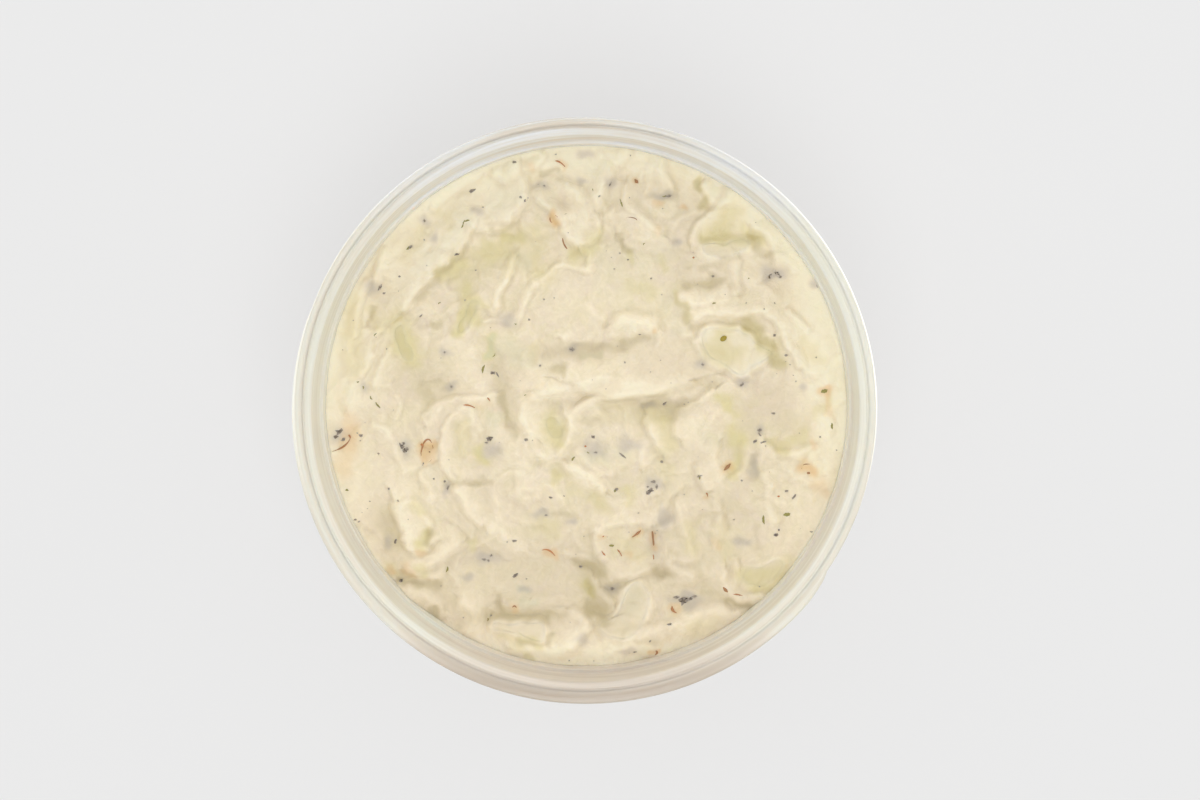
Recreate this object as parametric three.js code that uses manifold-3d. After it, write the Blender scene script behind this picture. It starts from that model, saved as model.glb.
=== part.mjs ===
// A deli tub of tzatziki: thick strained yoghurt stirred with shreds of cucumber, in a round,
// milky-clear polypropylene tub. Millimetres, +Z up, origin at the middle of the tub's foot.
// The yoghurt is one solid up to its folded surface, and each large shred of cucumber that
// shows is a solid of its own, bedded in a pocket of the yoghurt.

import * as THREE from 'three';
import { mergeVertices } from 'three/addons/utils/BufferGeometryUtils.js';
import Module from 'manifold-3d';

// Driving dimensions of the tub
const RIM_RADIUS = 58.5;
const TUB_HEIGHT = 46;
const WALL = 0.8;
const EDGE_ROUND = 0.35;
const TUB_SEGMENTS = 60;

// The rim, from the outside in: snap bead, groove, land and the seat that a lid plugs into
const BEAD_RADIUS = 0.75;
const GROOVE_DEPTH = 0.7;
const GROOVE_INSET = 1.9;
const LAND_DROP = 0.35;
const LAND_OUTER_INSET = 2.4;
const SEAT_INSET = 3.5;
const SEAT_DEPTH = 5.4;
const SEAT_TAPER = 1.0;
const LEDGE_WIDTH = 0.7;
const SKIRT_DEPTH = 5.2;

// The body below the stacking ledge
const WALL_TAPER = Math.tan(THREE.MathUtils.degToRad(6.5));
const CORNER_RADIUS = 3.2;
const FLOOR_LIFT = 0.9;
const FOOT_WIDTH = 3;
const FOOT_INSET = 3.4;

// The dip and what is bedded in it
const GAP = 0.3;
const DIP_LEVEL = 37.3;
const DIP_GRID = 34;
const STIR_HEIGHT = 0.22;
const STIR_PITCH = 13;
const MELD = 2.5;

// Points of a round stretch of a profile, from one angle to the other, in degrees
function arc(x, z, radius, from, to, steps) {
  const points = [];
  for (let i = 0; i <= steps; i += 1) {
    const angle = THREE.MathUtils.degToRad(from + ((to - from) * i) / steps);
    points.push(new THREE.Vector2(x + radius * Math.cos(angle), z + radius * Math.sin(angle)));
  }
  return points;
}

const SEAT_RADIUS = RIM_RADIUS - SEAT_INSET;
const LEDGE_HEIGHT = TUB_HEIGHT - SEAT_DEPTH - LAND_DROP;
const WALL_TOP = { radius: SEAT_RADIUS - SEAT_TAPER - LEDGE_WIDTH, z: LEDGE_HEIGHT - EDGE_ROUND };
const FLOOR_TOP = FLOOR_LIFT + WALL;

// Inside radius of the tub's tapered wall at a height
function wallRadius(z) {
  return WALL_TOP.radius - (WALL_TOP.z - z) * WALL_TAPER;
}

// The tub: one profile round the axis, up the outside and down the inside
function tubGeometry() {
  const landZ = TUB_HEIGHT - LAND_DROP;
  const grooveX = RIM_RADIUS - GROOVE_INSET;
  const landX = RIM_RADIUS - LAND_OUTER_INSET;
  const cornerZ = FLOOR_TOP + CORNER_RADIUS;
  const cornerX = wallRadius(cornerZ) - CORNER_RADIUS;
  const outerX = wallRadius(cornerZ) + WALL;
  const footX = outerX - FOOT_INSET;
  const skirtZ = TUB_HEIGHT - BEAD_RADIUS - SKIRT_DEPTH;
  const point = (x, z) => new THREE.Vector2(x, z);
  const outside = [
    point(0, FLOOR_LIFT),
    point(footX - FOOT_WIDTH - FLOOR_LIFT, FLOOR_LIFT),
    point(footX - FOOT_WIDTH, 0),
    point(footX, 0),
    ...arc(footX, FOOT_INSET, FOOT_INSET, -60, 0, 2),
    point(WALL_TOP.radius + WALL, WALL_TOP.z - WALL),
    point(SEAT_RADIUS - SEAT_TAPER + WALL, LEDGE_HEIGHT - WALL),
    point(SEAT_RADIUS + WALL, landZ - WALL),
    point(RIM_RADIUS - 2 * WALL, landZ - WALL),
    point(RIM_RADIUS - WALL, landZ - 2 * WALL),
    point(RIM_RADIUS - WALL, skirtZ),
    point(RIM_RADIUS - WALL / 4, skirtZ - WALL / 4),
    point(RIM_RADIUS, skirtZ + WALL / 2),
  ];
  const rim = [
    ...arc(RIM_RADIUS - BEAD_RADIUS, TUB_HEIGHT - BEAD_RADIUS, BEAD_RADIUS, 0, 180, 4),
    point(grooveX, TUB_HEIGHT - GROOVE_DEPTH),
    point(landX, landZ),
    point(SEAT_RADIUS + EDGE_ROUND, landZ),
    point(SEAT_RADIUS, landZ - EDGE_ROUND),
  ];
  const inside = [
    point(SEAT_RADIUS - SEAT_TAPER, LEDGE_HEIGHT),
    point(WALL_TOP.radius + EDGE_ROUND / 2, LEDGE_HEIGHT - EDGE_ROUND / 2),
    point(WALL_TOP.radius, WALL_TOP.z),
    ...arc(cornerX, cornerZ, CORNER_RADIUS, 0, -90, 3),
    point(0, FLOOR_TOP),
  ];
  const geometry = new THREE.LatheGeometry([...outside, ...rim, ...inside], TUB_SEGMENTS);
  return geometry.rotateX(Math.PI / 2);
}

// Folds of thick yoghurt that the spoon left: each runs from, through and to the given places,
// falls away over its left and right widths, and stands as high as its last number.
// A fold below zero is a crease.
const FOLDS = [
  [[-10, 4.2], [4, 6.4], [21, 5.4], 5.2, 2.2, 2.1],
  [[-9, 4.4], [-16, 1.5], [-10.5, -7], 2.4, 4.2, 1.5],
  [[-2, -2], [-2.6, -8], [-9, -9.4], 2, 2, 0.9],
  [[-3, -11.6], [0, -14], [3, -17], 1.8, 2.2, 1.1],
  [[12, -2], [14, -5.5], [16.5, -10], 1.6, 1.4, 1],
  [[18.6, -6], [20.5, -1], [25, 2.6], 2.4, 2.4, 1],
  [[7, 16.4], [10, 17.4], [13.5, 17], 2, 1.6, 1.2],
  [[19, 22.2], [25, 21.4], [32, 20.4], 4.2, 2.2, 1.4],
  [[30.6, 30], [30.8, 26], [31.5, 21], 1.4, 1.6, 1],
  [[22, 18.6], [34, 20.4], [43.5, 9], 2, 2, 1.2],
  [[22, 33.5], [24, 37.5], [29, 43.5], 2, 2, 1.4],
  [[31, 35.5], [36.6, 34], [37.4, 29], 1.8, 2.4, 1.1],
  [[36.6, -8], [41, -9.6], [47, -7.6], 1.6, 2.2, 0.9],
  [[26.5, -8.5], [27, -11.5], [27.5, -15.5], 3, 3, 1.1],
  [[28.5, -33], [29.6, -37.6], [36, -38.6], 1.8, 2.4, 1.1],
  [[9.5, -46.6], [17, -46], [28, -41.4], 1.8, 2.6, 1.1],
  [[1.5, -35.8], [3.4, -38.4], [5.2, -40.4], 1.2, 1.2, 1],
  [[0, -41], [0, -45.6], [-6, -50.5], 2.4, 2.4, 1.1],
  [[12.5, -24], [4, -22.6], [2.4, -29], 2, 2, 1],
  [[2.4, -28], [4.4, -34], [13, -32.6], 1.8, 1.8, 0.9],
  [[-38.6, -20.4], [-37.6, -26], [-33, -29], 2.8, 3, 1.7],
  [[-36, -33], [-31, -31.6], [-25.6, -27.6], 1.6, 2, 1.2],
  [[-29, -15], [-30.4, -3], [-22.4, -1.2], 2.2, 2, 1.2],
  [[-34, -3.4], [-30, 1.6], [-18.6, 2.6], 3, 1.6, 1],
  [[-27, -16.4], [-24, -20], [-19.6, -25], 2.4, 2.6, 1.1],
  [[-48, 20], [-49, 12], [-48, 3], 1.8, 1.8, 1],
  [[-41.4, 17], [-43.6, 12], [-44, 3], 1.8, 1.6, 0.9],
  [[-40, 20.4], [-30, 29], [-22.6, 37.2], 3.6, 1.6, 1.6],
  [[-23, 37], [-14.4, 38.4], [-13, 48], 3.4, 2, 1.5],
  [[-19.6, 21.6], [-17, 25], [-14.4, 30], 1.4, 1.2, 0.9],
  [[-13, 18.6], [-9.6, 26.4], [-4, 29], 1.4, 1.2, 0.9],
  [[-9, 42.4], [-4, 38.4], [-1.6, 33.4], 2.2, 3, 1.4],
  [[3.6, 48], [2.4, 40], [0, 34], 2.8, 2.4, 1.4],
  [[8.4, 45], [8.6, 40.4], [15, 35.6], 1.8, 2.2, 1.1],
  [[15, 51], [15.6, 47], [18.6, 43], 1.6, 2, 0.9],
  [[-6, 9.6], [3, 12.6], [11.4, 14.4], 1.2, 1.2, -1.1],
  [[31.6, 17.8], [37, 14], [39.6, 8.4], 1.5, 1.4, -1.4],
  [[-20, -42.8], [-13, -42.4], [-7, -42.8], 1.6, 1.4, -1.1],
  [[0, -37], [2, -41.6], [6.4, -41], 2, 2, -1.2],
  [[-37, -35.4], [-33, -36.4], [-27, -37], 1.6, 1.4, -0.8],
];

// A fold's crest as short chords, ready for measuring distances to it
const CREST_STEPS = 10;
const crests = FOLDS.map(([from, through, to, left, right, height]) => {
  const bend = through.map((value, axis) => 2 * value - (from[axis] + to[axis]) / 2);
  const curve = new THREE.QuadraticBezierCurve(
    new THREE.Vector2(...from),
    new THREE.Vector2(...bend),
    new THREE.Vector2(...to),
  );
  return { points: curve.getPoints(CREST_STEPS), left, right, height };
});

// What one fold adds to the surface at a place
function foldHeight(crest, x, y) {
  let nearest = Infinity;
  let side = 1;
  for (let i = 0; i < CREST_STEPS; i += 1) {
    const a = crest.points[i];
    const b = crest.points[i + 1];
    const dx = b.x - a.x;
    const dy = b.y - a.y;
    const along = ((x - a.x) * dx + (y - a.y) * dy) / (dx * dx + dy * dy);
    const t = THREE.MathUtils.clamp(along, 0, 1);
    const distance = Math.hypot(x - a.x - t * dx, y - a.y - t * dy);
    if (distance < nearest) {
      nearest = distance;
      side = dx * (y - a.y) - dy * (x - a.x);
    }
  }
  const width = side > 0 ? crest.left : crest.right;
  return crest.height * Math.exp(-((nearest / width) ** 2));
}

// Height of the yoghurt's surface: the level, the stirring's slow spiral, and the folds, which
// meld where they meet instead of piling up
function surfaceHeight(x, y) {
  const radius = Math.hypot(x, y);
  const turn = Math.atan2(y, x);
  const swing = Math.sin((radius / STIR_PITCH) * 2 * Math.PI - 2 * turn);
  const stir = STIR_HEIGHT * swing * Math.min(1, radius / STIR_PITCH);
  let raised = 0;
  let sunk = 0;
  for (const crest of crests) {
    const height = foldHeight(crest, x, y);
    if (height > 0) raised += height ** MELD;
    else sunk += height;
  }
  return DIP_LEVEL + stir + raised ** (1 / MELD) + sunk;
}

// A square grid drawn evenly over a disc: square rings become round ones
function discPoint(u, v) {
  if (u === 0 && v === 0) return [0, 0];
  const wide = Math.abs(u) > Math.abs(v);
  const radius = wide ? u : v;
  const angle = wide ? (Math.PI / 4) * (v / u) : Math.PI / 2 - (Math.PI / 4) * (u / v);
  return [radius * Math.cos(angle), radius * Math.sin(angle)];
}

// The yoghurt: a folded top on a grid, the tub's inside below it, and a flat underside
function dipGeometry() {
  const positions = [];
  const triangles = [];
  const topRadius = wallRadius(DIP_LEVEL) - GAP;
  const size = DIP_GRID + 1;
  for (let row = 0; row < size; row += 1) {
    for (let column = 0; column < size; column += 1) {
      const [x, y] = discPoint((2 * column) / DIP_GRID - 1, (2 * row) / DIP_GRID - 1);
      positions.push(x * topRadius, y * topRadius, surfaceHeight(x * topRadius, y * topRadius));
    }
  }
  for (let row = 0; row < DIP_GRID; row += 1) {
    for (let column = 0; column < DIP_GRID; column += 1) {
      const corner = row * size + column;
      triangles.push(corner, corner + 1, corner + size + 1, corner, corner + size + 1, corner + size);
    }
  }
  const edge = [];
  for (let i = 0; i < DIP_GRID; i += 1) edge.push(i);
  for (let i = 0; i < DIP_GRID; i += 1) edge.push(i * size + DIP_GRID);
  for (let i = DIP_GRID; i > 0; i -= 1) edge.push(DIP_GRID * size + i);
  for (let i = DIP_GRID; i > 0; i -= 1) edge.push(i * size);

  const cornerRadius = CORNER_RADIUS - GAP;
  const cornerZ = FLOOR_TOP + CORNER_RADIUS;
  const cornerX = wallRadius(cornerZ) - CORNER_RADIUS;
  const skirtRows = [
    new THREE.Vector2(cornerX + cornerRadius, cornerZ),
    ...arc(cornerX, cornerZ, cornerRadius, -45, -90, 1),
  ];
  let above = edge;
  for (const row of skirtRows) {
    const below = edge.map((vertex) => {
      const angle = Math.atan2(positions[3 * vertex + 1], positions[3 * vertex]);
      positions.push(row.x * Math.cos(angle), row.x * Math.sin(angle), row.y);
      return positions.length / 3 - 1;
    });
    for (let i = 0; i < edge.length; i += 1) {
      const next = (i + 1) % edge.length;
      triangles.push(above[i], below[i], below[next], above[i], below[next], above[next]);
    }
    above = below;
  }
  positions.push(0, 0, FLOOR_TOP + GAP);
  const centre = positions.length / 3 - 1;
  for (let i = 0; i < edge.length; i += 1) {
    triangles.push(above[i], centre, above[(i + 1) % edge.length]);
  }
  return indexedGeometry(positions, triangles);
}

function indexedGeometry(positions, triangles) {
  const geometry = new THREE.BufferGeometry();
  geometry.setAttribute('position', new THREE.Float32BufferAttribute(positions, 3));
  geometry.setIndex(triangles);
  return geometry;
}

// The shreds that show: each runs from, through and to its places, with the half width at its
// start, middle and end, its thickness, and how far its middle stands over the yoghurt.
const SHREDS = {
  cucumber_right: [[24.4, 12.4], [30, 12.2], [37, 10.6], [2.6, 4.4, 2], 3.4, 0.7],
  cucumber_bottom: [[11, -36.6], [10.8, -41.4], [5.4, -45.4], [2, 2.8, 2.4], 2.6, 0.9],
  cucumber_bottom_left: [[-18.6, -44.7], [-14, -45], [-9, -46.3], [0.8, 1.2, 2], 2.2, 0.8],
  cucumber_upper_right: [[23.4, 32.6], [28, 31.8], [33.6, 33.4], [1.3, 2, 1.3], 2.4, 0.6],
  cucumber_lower_right: [[31.6, -34.4], [36, -34.2], [39, -32.6], [2.2, 3.2, 2.2], 2.6, 0.2],
  cucumber_left: [[-38.6, 17.4], [-37.6, 13], [-35.4, 9.4], [1.4, 2.2, 1.3], 2.4, 0.2],
  cucumber_upper_left: [[-21.8, 22.4], [-23.8, 18.8], [-26.2, 14.6], [1.5, 1.9, 1], 2.4, 0.2],
  cucumber_centre: [[-6.8, -1.4], [-6.4, -4], [-5.8, -7], [1.6, 2.9, 1.6], 2.6, 0.1],
};

const SHRED_STATIONS = 8;
const SHRED_SIDES = 8;
const TIP_REACH = 0.42;
const TIP_SHARE = 0.18;

// A shred as a closed skin round its bent spine. grow thickens it all round, for its pocket.
function shredGeometry([from, through, to, halfWidths, thickness, stand], grow) {
  const bend = through.map((value, axis) => 2 * value - (from[axis] + to[axis]) / 2);
  const spine = new THREE.QuadraticBezierCurve(
    new THREE.Vector2(...from),
    new THREE.Vector2(...bend),
    new THREE.Vector2(...to),
  );
  const middle = spine.getPoint(0.5);
  const height = surfaceHeight(middle.x, middle.y) + stand - thickness / 2;
  const positions = [];
  const triangles = [];
  const [start, belly, end] = halfWidths;
  for (let station = 0; station <= SHRED_STATIONS; station += 1) {
    const t = station / SHRED_STATIONS;
    const centre = spine.getPoint(t);
    const across = spine.getTangent(t);
    const firstHalf = THREE.MathUtils.lerp(start, belly, 2 * t);
    const lastHalf = THREE.MathUtils.lerp(belly, end, 2 * t - 1);
    const lobe = t < 0.5 ? firstHalf : lastHalf;
    const round = Math.sqrt(Math.max(TIP_SHARE, 1 - (2 * t - 1) ** 4));
    for (let side = 0; side < SHRED_SIDES; side += 1) {
      const angle = (2 * Math.PI * side) / SHRED_SIDES;
      const out = (lobe * round + grow) * Math.cos(angle);
      const up = ((thickness / 2) * round + grow) * Math.sin(angle);
      positions.push(centre.x + across.y * out, centre.y - across.x * out, height + up);
    }
  }
  for (let station = 0; station < SHRED_STATIONS; station += 1) {
    for (let side = 0; side < SHRED_SIDES; side += 1) {
      const a = station * SHRED_SIDES + side;
      const b = station * SHRED_SIDES + ((side + 1) % SHRED_SIDES);
      triangles.push(a, a + SHRED_SIDES, b, b, a + SHRED_SIDES, b + SHRED_SIDES);
    }
  }
  for (const [t, first] of [[0, 0], [1, SHRED_STATIONS * SHRED_SIDES]]) {
    const tip = spine.getPoint(t);
    const along = spine.getTangent(t).multiplyScalar((t === 0 ? -1 : 1) * (grow + TIP_REACH));
    positions.push(tip.x + along.x, tip.y + along.y, height);
    const apex = positions.length / 3 - 1;
    for (let side = 0; side < SHRED_SIDES; side += 1) {
      const a = first + side;
      const b = first + ((side + 1) % SHRED_SIDES);
      triangles.push(...(t === 0 ? [a, b, apex] : [b, a, apex]));
    }
  }
  return indexedGeometry(positions, triangles);
}

// Booleans: a closed geometry to a solid and back
const wasm = await Module();
wasm.setup();

function toSolid(geometry) {
  const bare = geometry.clone();
  bare.deleteAttribute('normal');
  bare.deleteAttribute('uv');
  const merged = mergeVertices(bare);
  return new wasm.Manifold(new wasm.Mesh({
    numProp: 3,
    vertProperties: new Float32Array(merged.attributes.position.array),
    triVerts: new Uint32Array(merged.index.array),
  }));
}

function toGeometry(solid) {
  const mesh = solid.getMesh();
  return indexedGeometry(Array.from(mesh.vertProperties), Array.from(mesh.triVerts));
}

const polypropylene = new THREE.MeshStandardMaterial({ color: '#e4e2d9', roughness: 0.35, metalness: 0 });
const yoghurt = new THREE.MeshStandardMaterial({ color: '#e7dabb', roughness: 0.55, metalness: 0 });
const cucumber = new THREE.MeshStandardMaterial({ color: '#dbd49b', roughness: 0.4, metalness: 0 });

const group = new THREE.Group();

function addPiece(name, geometry, material) {
  const mesh = new THREE.Mesh(geometry, material);
  mesh.name = name;
  group.add(mesh);
}

addPiece('tub', tubGeometry(), polypropylene);

let dip = toSolid(dipGeometry());
for (const [name, shred] of Object.entries(SHREDS)) {
  dip = dip.subtract(toSolid(shredGeometry(shred, GAP)));
  addPiece(name, shredGeometry(shred, 0), cucumber);
}
addPiece('dip', toGeometry(dip), yoghurt);

export default group;
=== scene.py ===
import math

import bpy
import numpy as np
from mathutils import Matrix, Vector


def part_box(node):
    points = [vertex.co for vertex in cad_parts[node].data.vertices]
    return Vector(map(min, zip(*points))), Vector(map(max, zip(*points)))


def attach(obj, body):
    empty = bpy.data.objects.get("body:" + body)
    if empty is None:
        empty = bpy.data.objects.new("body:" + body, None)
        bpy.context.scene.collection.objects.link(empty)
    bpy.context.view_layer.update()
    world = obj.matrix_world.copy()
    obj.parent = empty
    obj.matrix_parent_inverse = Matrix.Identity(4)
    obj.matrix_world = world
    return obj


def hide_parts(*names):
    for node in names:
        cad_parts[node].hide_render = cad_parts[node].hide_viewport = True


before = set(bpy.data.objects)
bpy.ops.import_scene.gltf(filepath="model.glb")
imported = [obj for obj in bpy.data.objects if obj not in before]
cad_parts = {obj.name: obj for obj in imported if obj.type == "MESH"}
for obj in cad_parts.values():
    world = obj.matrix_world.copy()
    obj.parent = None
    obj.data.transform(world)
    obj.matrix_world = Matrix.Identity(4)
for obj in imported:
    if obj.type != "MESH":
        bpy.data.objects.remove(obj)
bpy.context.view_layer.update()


# The view. One camera nearly straight above the tub, as somebody looks down into it on a counter.
# It leans a little towards the far right, so the near inside wall shows wider than the far one.
MM = 0.001
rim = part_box("tub")[1]
LENS = 85
SENSOR = 36
FRAME_WIDTH = 240 * MM
LEAN = Vector((12.6, 31.9)) * MM
eye_height = FRAME_WIDTH * LENS / SENSOR
aim = Vector((3.05 * MM, 2.0 * MM, rim.z))
eye = aim + Vector((LEAN.x, LEAN.y, eye_height))

camera = bpy.data.objects.new("view", bpy.data.cameras.new("view"))
camera.data.lens = LENS
camera.data.sensor_width = SENSOR
camera.data.clip_start = 10 * MM
camera.data.clip_end = 10
forward = (aim - eye).normalized()
rightward = forward.cross(Vector((0, 1, 0))).normalized()
upward = rightward.cross(forward)
camera.matrix_world = Matrix.Translation(eye) @ Matrix((rightward, upward, -forward)).transposed().to_4x4()
bpy.context.collection.objects.link(camera)
bpy.context.scene.camera = camera
bpy.context.scene.view_settings.view_transform = "Standard"


# The tub. Thin injection-moulded polypropylene, milky and clear at once, glossier on the rim.
# Its profile is turned round the axis: foot ring, tapered wall, stacking ledge, the seat that a
# lid plugs into, the land, a groove and the bead that the lid snaps over, with a short skirt.
WALL = 0.8
RIM_RADIUS = rim.x / MM
RIM_HEIGHT = rim.z / MM
SEAT_RADIUS = RIM_RADIUS - 3.5
SEAT_FOOT = SEAT_RADIUS - 1.0
LAND = RIM_HEIGHT - 0.35
LEDGE = LAND - 5.4
WALL_HEAD = SEAT_FOOT - 0.7
WALL_TAPER = math.tan(math.radians(6.5))
FLOOR = 1.7
FLOOR_LIFT = 0.9
FOOT_RING = 6.6
CORNER_ROUND = 3.2
SKIRT_DEPTH = 6.1
GROOVE_DEPTH = 0.5
TUB_SEGMENTS = 288
FULL_TURN = 2 * math.pi


def wall_radius(height):
    """Inside radius of the tapered wall, in millimetres."""
    return WALL_HEAD - (LEDGE - 0.35 - height) * WALL_TAPER


def rounded(corners, steps=5):
    """Points of an outline through corners (x, z, rounding), in millimetres."""
    points = []
    for i, (x, z, rounding) in enumerate(corners):
        if rounding == 0:
            points.append((x, z))
            continue
        here = np.array([x, z])
        back = np.array(corners[i - 1][:2]) - here
        ahead = np.array(corners[i + 1][:2]) - here
        back = back / np.linalg.norm(back)
        ahead = ahead / np.linalg.norm(ahead)
        half = math.acos(np.clip(back @ ahead, -1, 1)) / 2
        middle = (back + ahead) / np.linalg.norm(back + ahead)
        centre = here + middle * rounding / math.sin(half)
        first = here + back * rounding / math.tan(half) - centre
        last = here + ahead * rounding / math.tan(half) - centre
        start = math.atan2(first[1], first[0])
        turn = (math.atan2(last[1], last[0]) - start + math.pi) % FULL_TURN - math.pi
        for step in range(steps + 1):
            angle = start + turn * step / steps
            points.append((centre[0] + rounding * math.cos(angle), centre[1] + rounding * math.sin(angle)))
    return points


def build(name, points, faces, rides="root"):
    """A smooth mesh from points in millimetres, riding on a body."""
    mesh = bpy.data.meshes.new(name)
    mesh.from_pydata(np.asarray(points) * MM, [], faces)
    mesh.validate()
    mesh.shade_smooth()
    piece = bpy.data.objects.new(name, mesh)
    bpy.context.collection.objects.link(piece)
    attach(piece, rides)
    return piece


def banded(rings, around, closed=False):
    """Faces between rings of points, each ring numbered on from the one before."""
    faces = []
    for row in range(rings if closed else rings - 1):
        low, high = row * around, (row + 1) % rings * around
        for i in range(around):
            j = (i + 1) % around
            faces.append((low + i, low + j, high + j, high + i))
    return faces


def turned(outline, segments):
    """Points and faces of an outline that starts and ends on the axis, turned round it."""
    inner = outline[1:-1]
    angles = np.arange(segments) * FULL_TURN / segments
    ring = np.array([[x * c, x * s, z] for x, z in inner for c, s in zip(np.cos(angles), np.sin(angles))])
    points = np.vstack([ring, [[0, 0, outline[0][1]], [0, 0, outline[-1][1]]]])
    faces = banded(len(inner), segments)
    start, end = len(ring), len(ring) + 1
    top = (len(inner) - 1) * segments
    for i in range(segments):
        j = (i + 1) % segments
        faces.append((start, j, i))
        faces.append((end, top + i, top + j))
    return points, faces


foot = wall_radius(FLOOR + CORNER_ROUND) + WALL
tub_outline = rounded([
    (0, FLOOR_LIFT, 0),
    (foot - FOOT_RING - 1, FLOOR_LIFT, 0.8),
    (foot - FOOT_RING, 0, 0.5),
    (foot - 0.45, 0, 2.8),
    (WALL_HEAD + WALL, LEDGE - 0.35 - WALL, 0.5),
    (SEAT_FOOT + WALL, LEDGE - WALL, 0.3),
    (SEAT_RADIUS + WALL, LAND - WALL, 0.3),
    (RIM_RADIUS - 2 * WALL, LAND - WALL, 0.2),
    (RIM_RADIUS - WALL, LAND - 2 * WALL, 0.3),
    (RIM_RADIUS - WALL, RIM_HEIGHT - SKIRT_DEPTH, 0.38),
    (RIM_RADIUS, RIM_HEIGHT - SKIRT_DEPTH, 0.38),
    (RIM_RADIUS, RIM_HEIGHT, 0.55),
    (RIM_RADIUS - 1.45, RIM_HEIGHT, 0.7),
    (RIM_RADIUS - 1.62, RIM_HEIGHT - GROOVE_DEPTH, 0.15),
    (RIM_RADIUS - 2.0, RIM_HEIGHT - GROOVE_DEPTH, 0.12),
    (RIM_RADIUS - 2.2, LAND, 0.2),
    (SEAT_RADIUS, LAND, 0.4),
    (SEAT_FOOT, LEDGE, 0.45),
    (WALL_HEAD, LEDGE - 0.1, 0.3),
    (wall_radius(FLOOR), FLOOR, CORNER_ROUND),
    (0, FLOOR, 0),
])
tub_points, tub_faces = turned(tub_outline, TUB_SEGMENTS)

# The bead stands out a little more from the left round the near side, where a thumb lifts the lid.
# Degrees round the tub: the lip grows slowly from its left end and stops short at its right end.
LIFT_LIP = 0.95
LIP_FROM, LIP_GROWS = 160, 100
LIP_TO, LIP_STOPS = 326, 7
LIP_ROOT, LIP_EASE = 1.5, 0.8
tub_round = np.degrees(np.arctan2(tub_points[:, 1], tub_points[:, 0])) % 360
tub_away = np.hypot(tub_points[:, 0], tub_points[:, 1])
lip = np.clip((tub_round - LIP_FROM) / LIP_GROWS, 0, 1) * np.clip((LIP_TO - tub_round) / LIP_STOPS, 0, 1)
lip = LIFT_LIP * np.sqrt(lip) * np.clip((tub_away - RIM_RADIUS + LIP_ROOT) / LIP_EASE, 0, 1)
tub_points[:, :2] *= (1 + lip / np.maximum(tub_away, 1))[:, None]
tub = build("tub_moulded", tub_points, tub_faces)
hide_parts("tub")


class Wire:
    """A shader socket that sums can be written on: each operator adds its Math node."""

    def __init__(self, tree, socket=None):
        self.tree = tree
        self.socket = socket

    def node(self, kind, settings=None, sockets=None, out=0):
        """Any node: its settings first, then the values or links of its sockets."""
        made = self.tree.nodes.new(kind)
        for name, value in (settings or {}).items():
            if name == "stops":
                ramp = made.color_ramp
                while len(ramp.elements) < len(value):
                    ramp.elements.new(1)
                for element, (place, colour) in zip(ramp.elements, value):
                    element.position = place
                    element.color = (*colour, 1)
            else:
                setattr(made, name, value)
        for name, value in (sockets or {}).items():
            if isinstance(value, Wire):
                self.tree.links.new(value.socket, made.inputs[name])
            else:
                made.inputs[name].default_value = value
        return Wire(self.tree, made.outputs[out] if made.outputs else None)

    def maths(self, operation, *values):
        return self.node("ShaderNodeMath", {"operation": operation}, dict(enumerate(values)))

    def __add__(self, other):
        return self.maths("ADD", self, other)

    def __sub__(self, other):
        return self.maths("SUBTRACT", self, other)

    def __rsub__(self, other):
        return self.maths("SUBTRACT", other, self)

    def __mul__(self, other):
        return self.maths("MULTIPLY", self, other)

    __radd__ = __add__
    __rmul__ = __mul__

    def clamped(self, low=0.0, high=1.0):
        return self.node("ShaderNodeClamp", None, {"Value": self, "Min": low, "Max": high})

    def rising(self, start, end):
        """How far a place in metres has come from start to end in millimetres, from 0 to 1."""
        slope = 1 / ((end - start) * MM)
        return (slope * self - slope * start * MM).clamped()

    def blend(self, plain, tinted):
        """The colour plain where this is 0 and tinted where it is 1."""
        sockets = {"Factor": self, 6: plain, 7: tinted}
        return self.node("ShaderNodeMix", {"data_type": "RGBA"}, sockets, out=2)


def material(name):
    """An empty material and the wire that its nodes are added through."""
    made = bpy.data.materials.new(name)
    made.use_nodes = True
    made.node_tree.nodes.clear()
    return made, Wire(made.node_tree)


def colour(*levels):
    """A colour from its display levels, 0 to 255."""
    shares = [level / 255 for level in levels]
    return (*[share / 12.92 if share < 0.0405 else ((share + 0.055) / 1.055) ** 2.4 for share in shares], 1)


def surfaced(piece, made, shade, sockets):
    """Gives a piece a material with one surface that has these sockets."""
    surface = shade.node("ShaderNodeBsdfPrincipled", None, sockets)
    shade.node("ShaderNodeOutputMaterial", None, {"Surface": surface})
    piece.data.materials.append(made)


# Where the plastic flowed into the mould it left fine streaks round the rim: they change fast
# across the rim and slowly round it
STREAKS_ACROSS = 1500
STREAKS_ROUND = 24
plastic, shade = material("milky_polypropylene")
place = shade.node("ShaderNodeTexCoord", out=3)
right, back, up = [shade.node("ShaderNodeSeparateXYZ", None, {0: place}, out=axis) for axis in range(3)]
away = shade.maths("SQRT", right * right + back * back)
drawn = shade.node("ShaderNodeCombineXYZ", None, {
    0: STREAKS_ACROSS * (away - 0.8 * up), 1: STREAKS_ROUND * right, 2: STREAKS_ROUND * back,
})
flow = shade.node("ShaderNodeTexNoise", None, {
    "Vector": drawn, "Scale": 1.0, "Detail": 3.0, "Roughness": 0.6,
})
haze = shade.node("ShaderNodeTexNoise", None, {"Vector": place, "Scale": 34.0, "Detail": 2.0})
sideways = shade.maths("ABSOLUTE", right)

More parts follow.
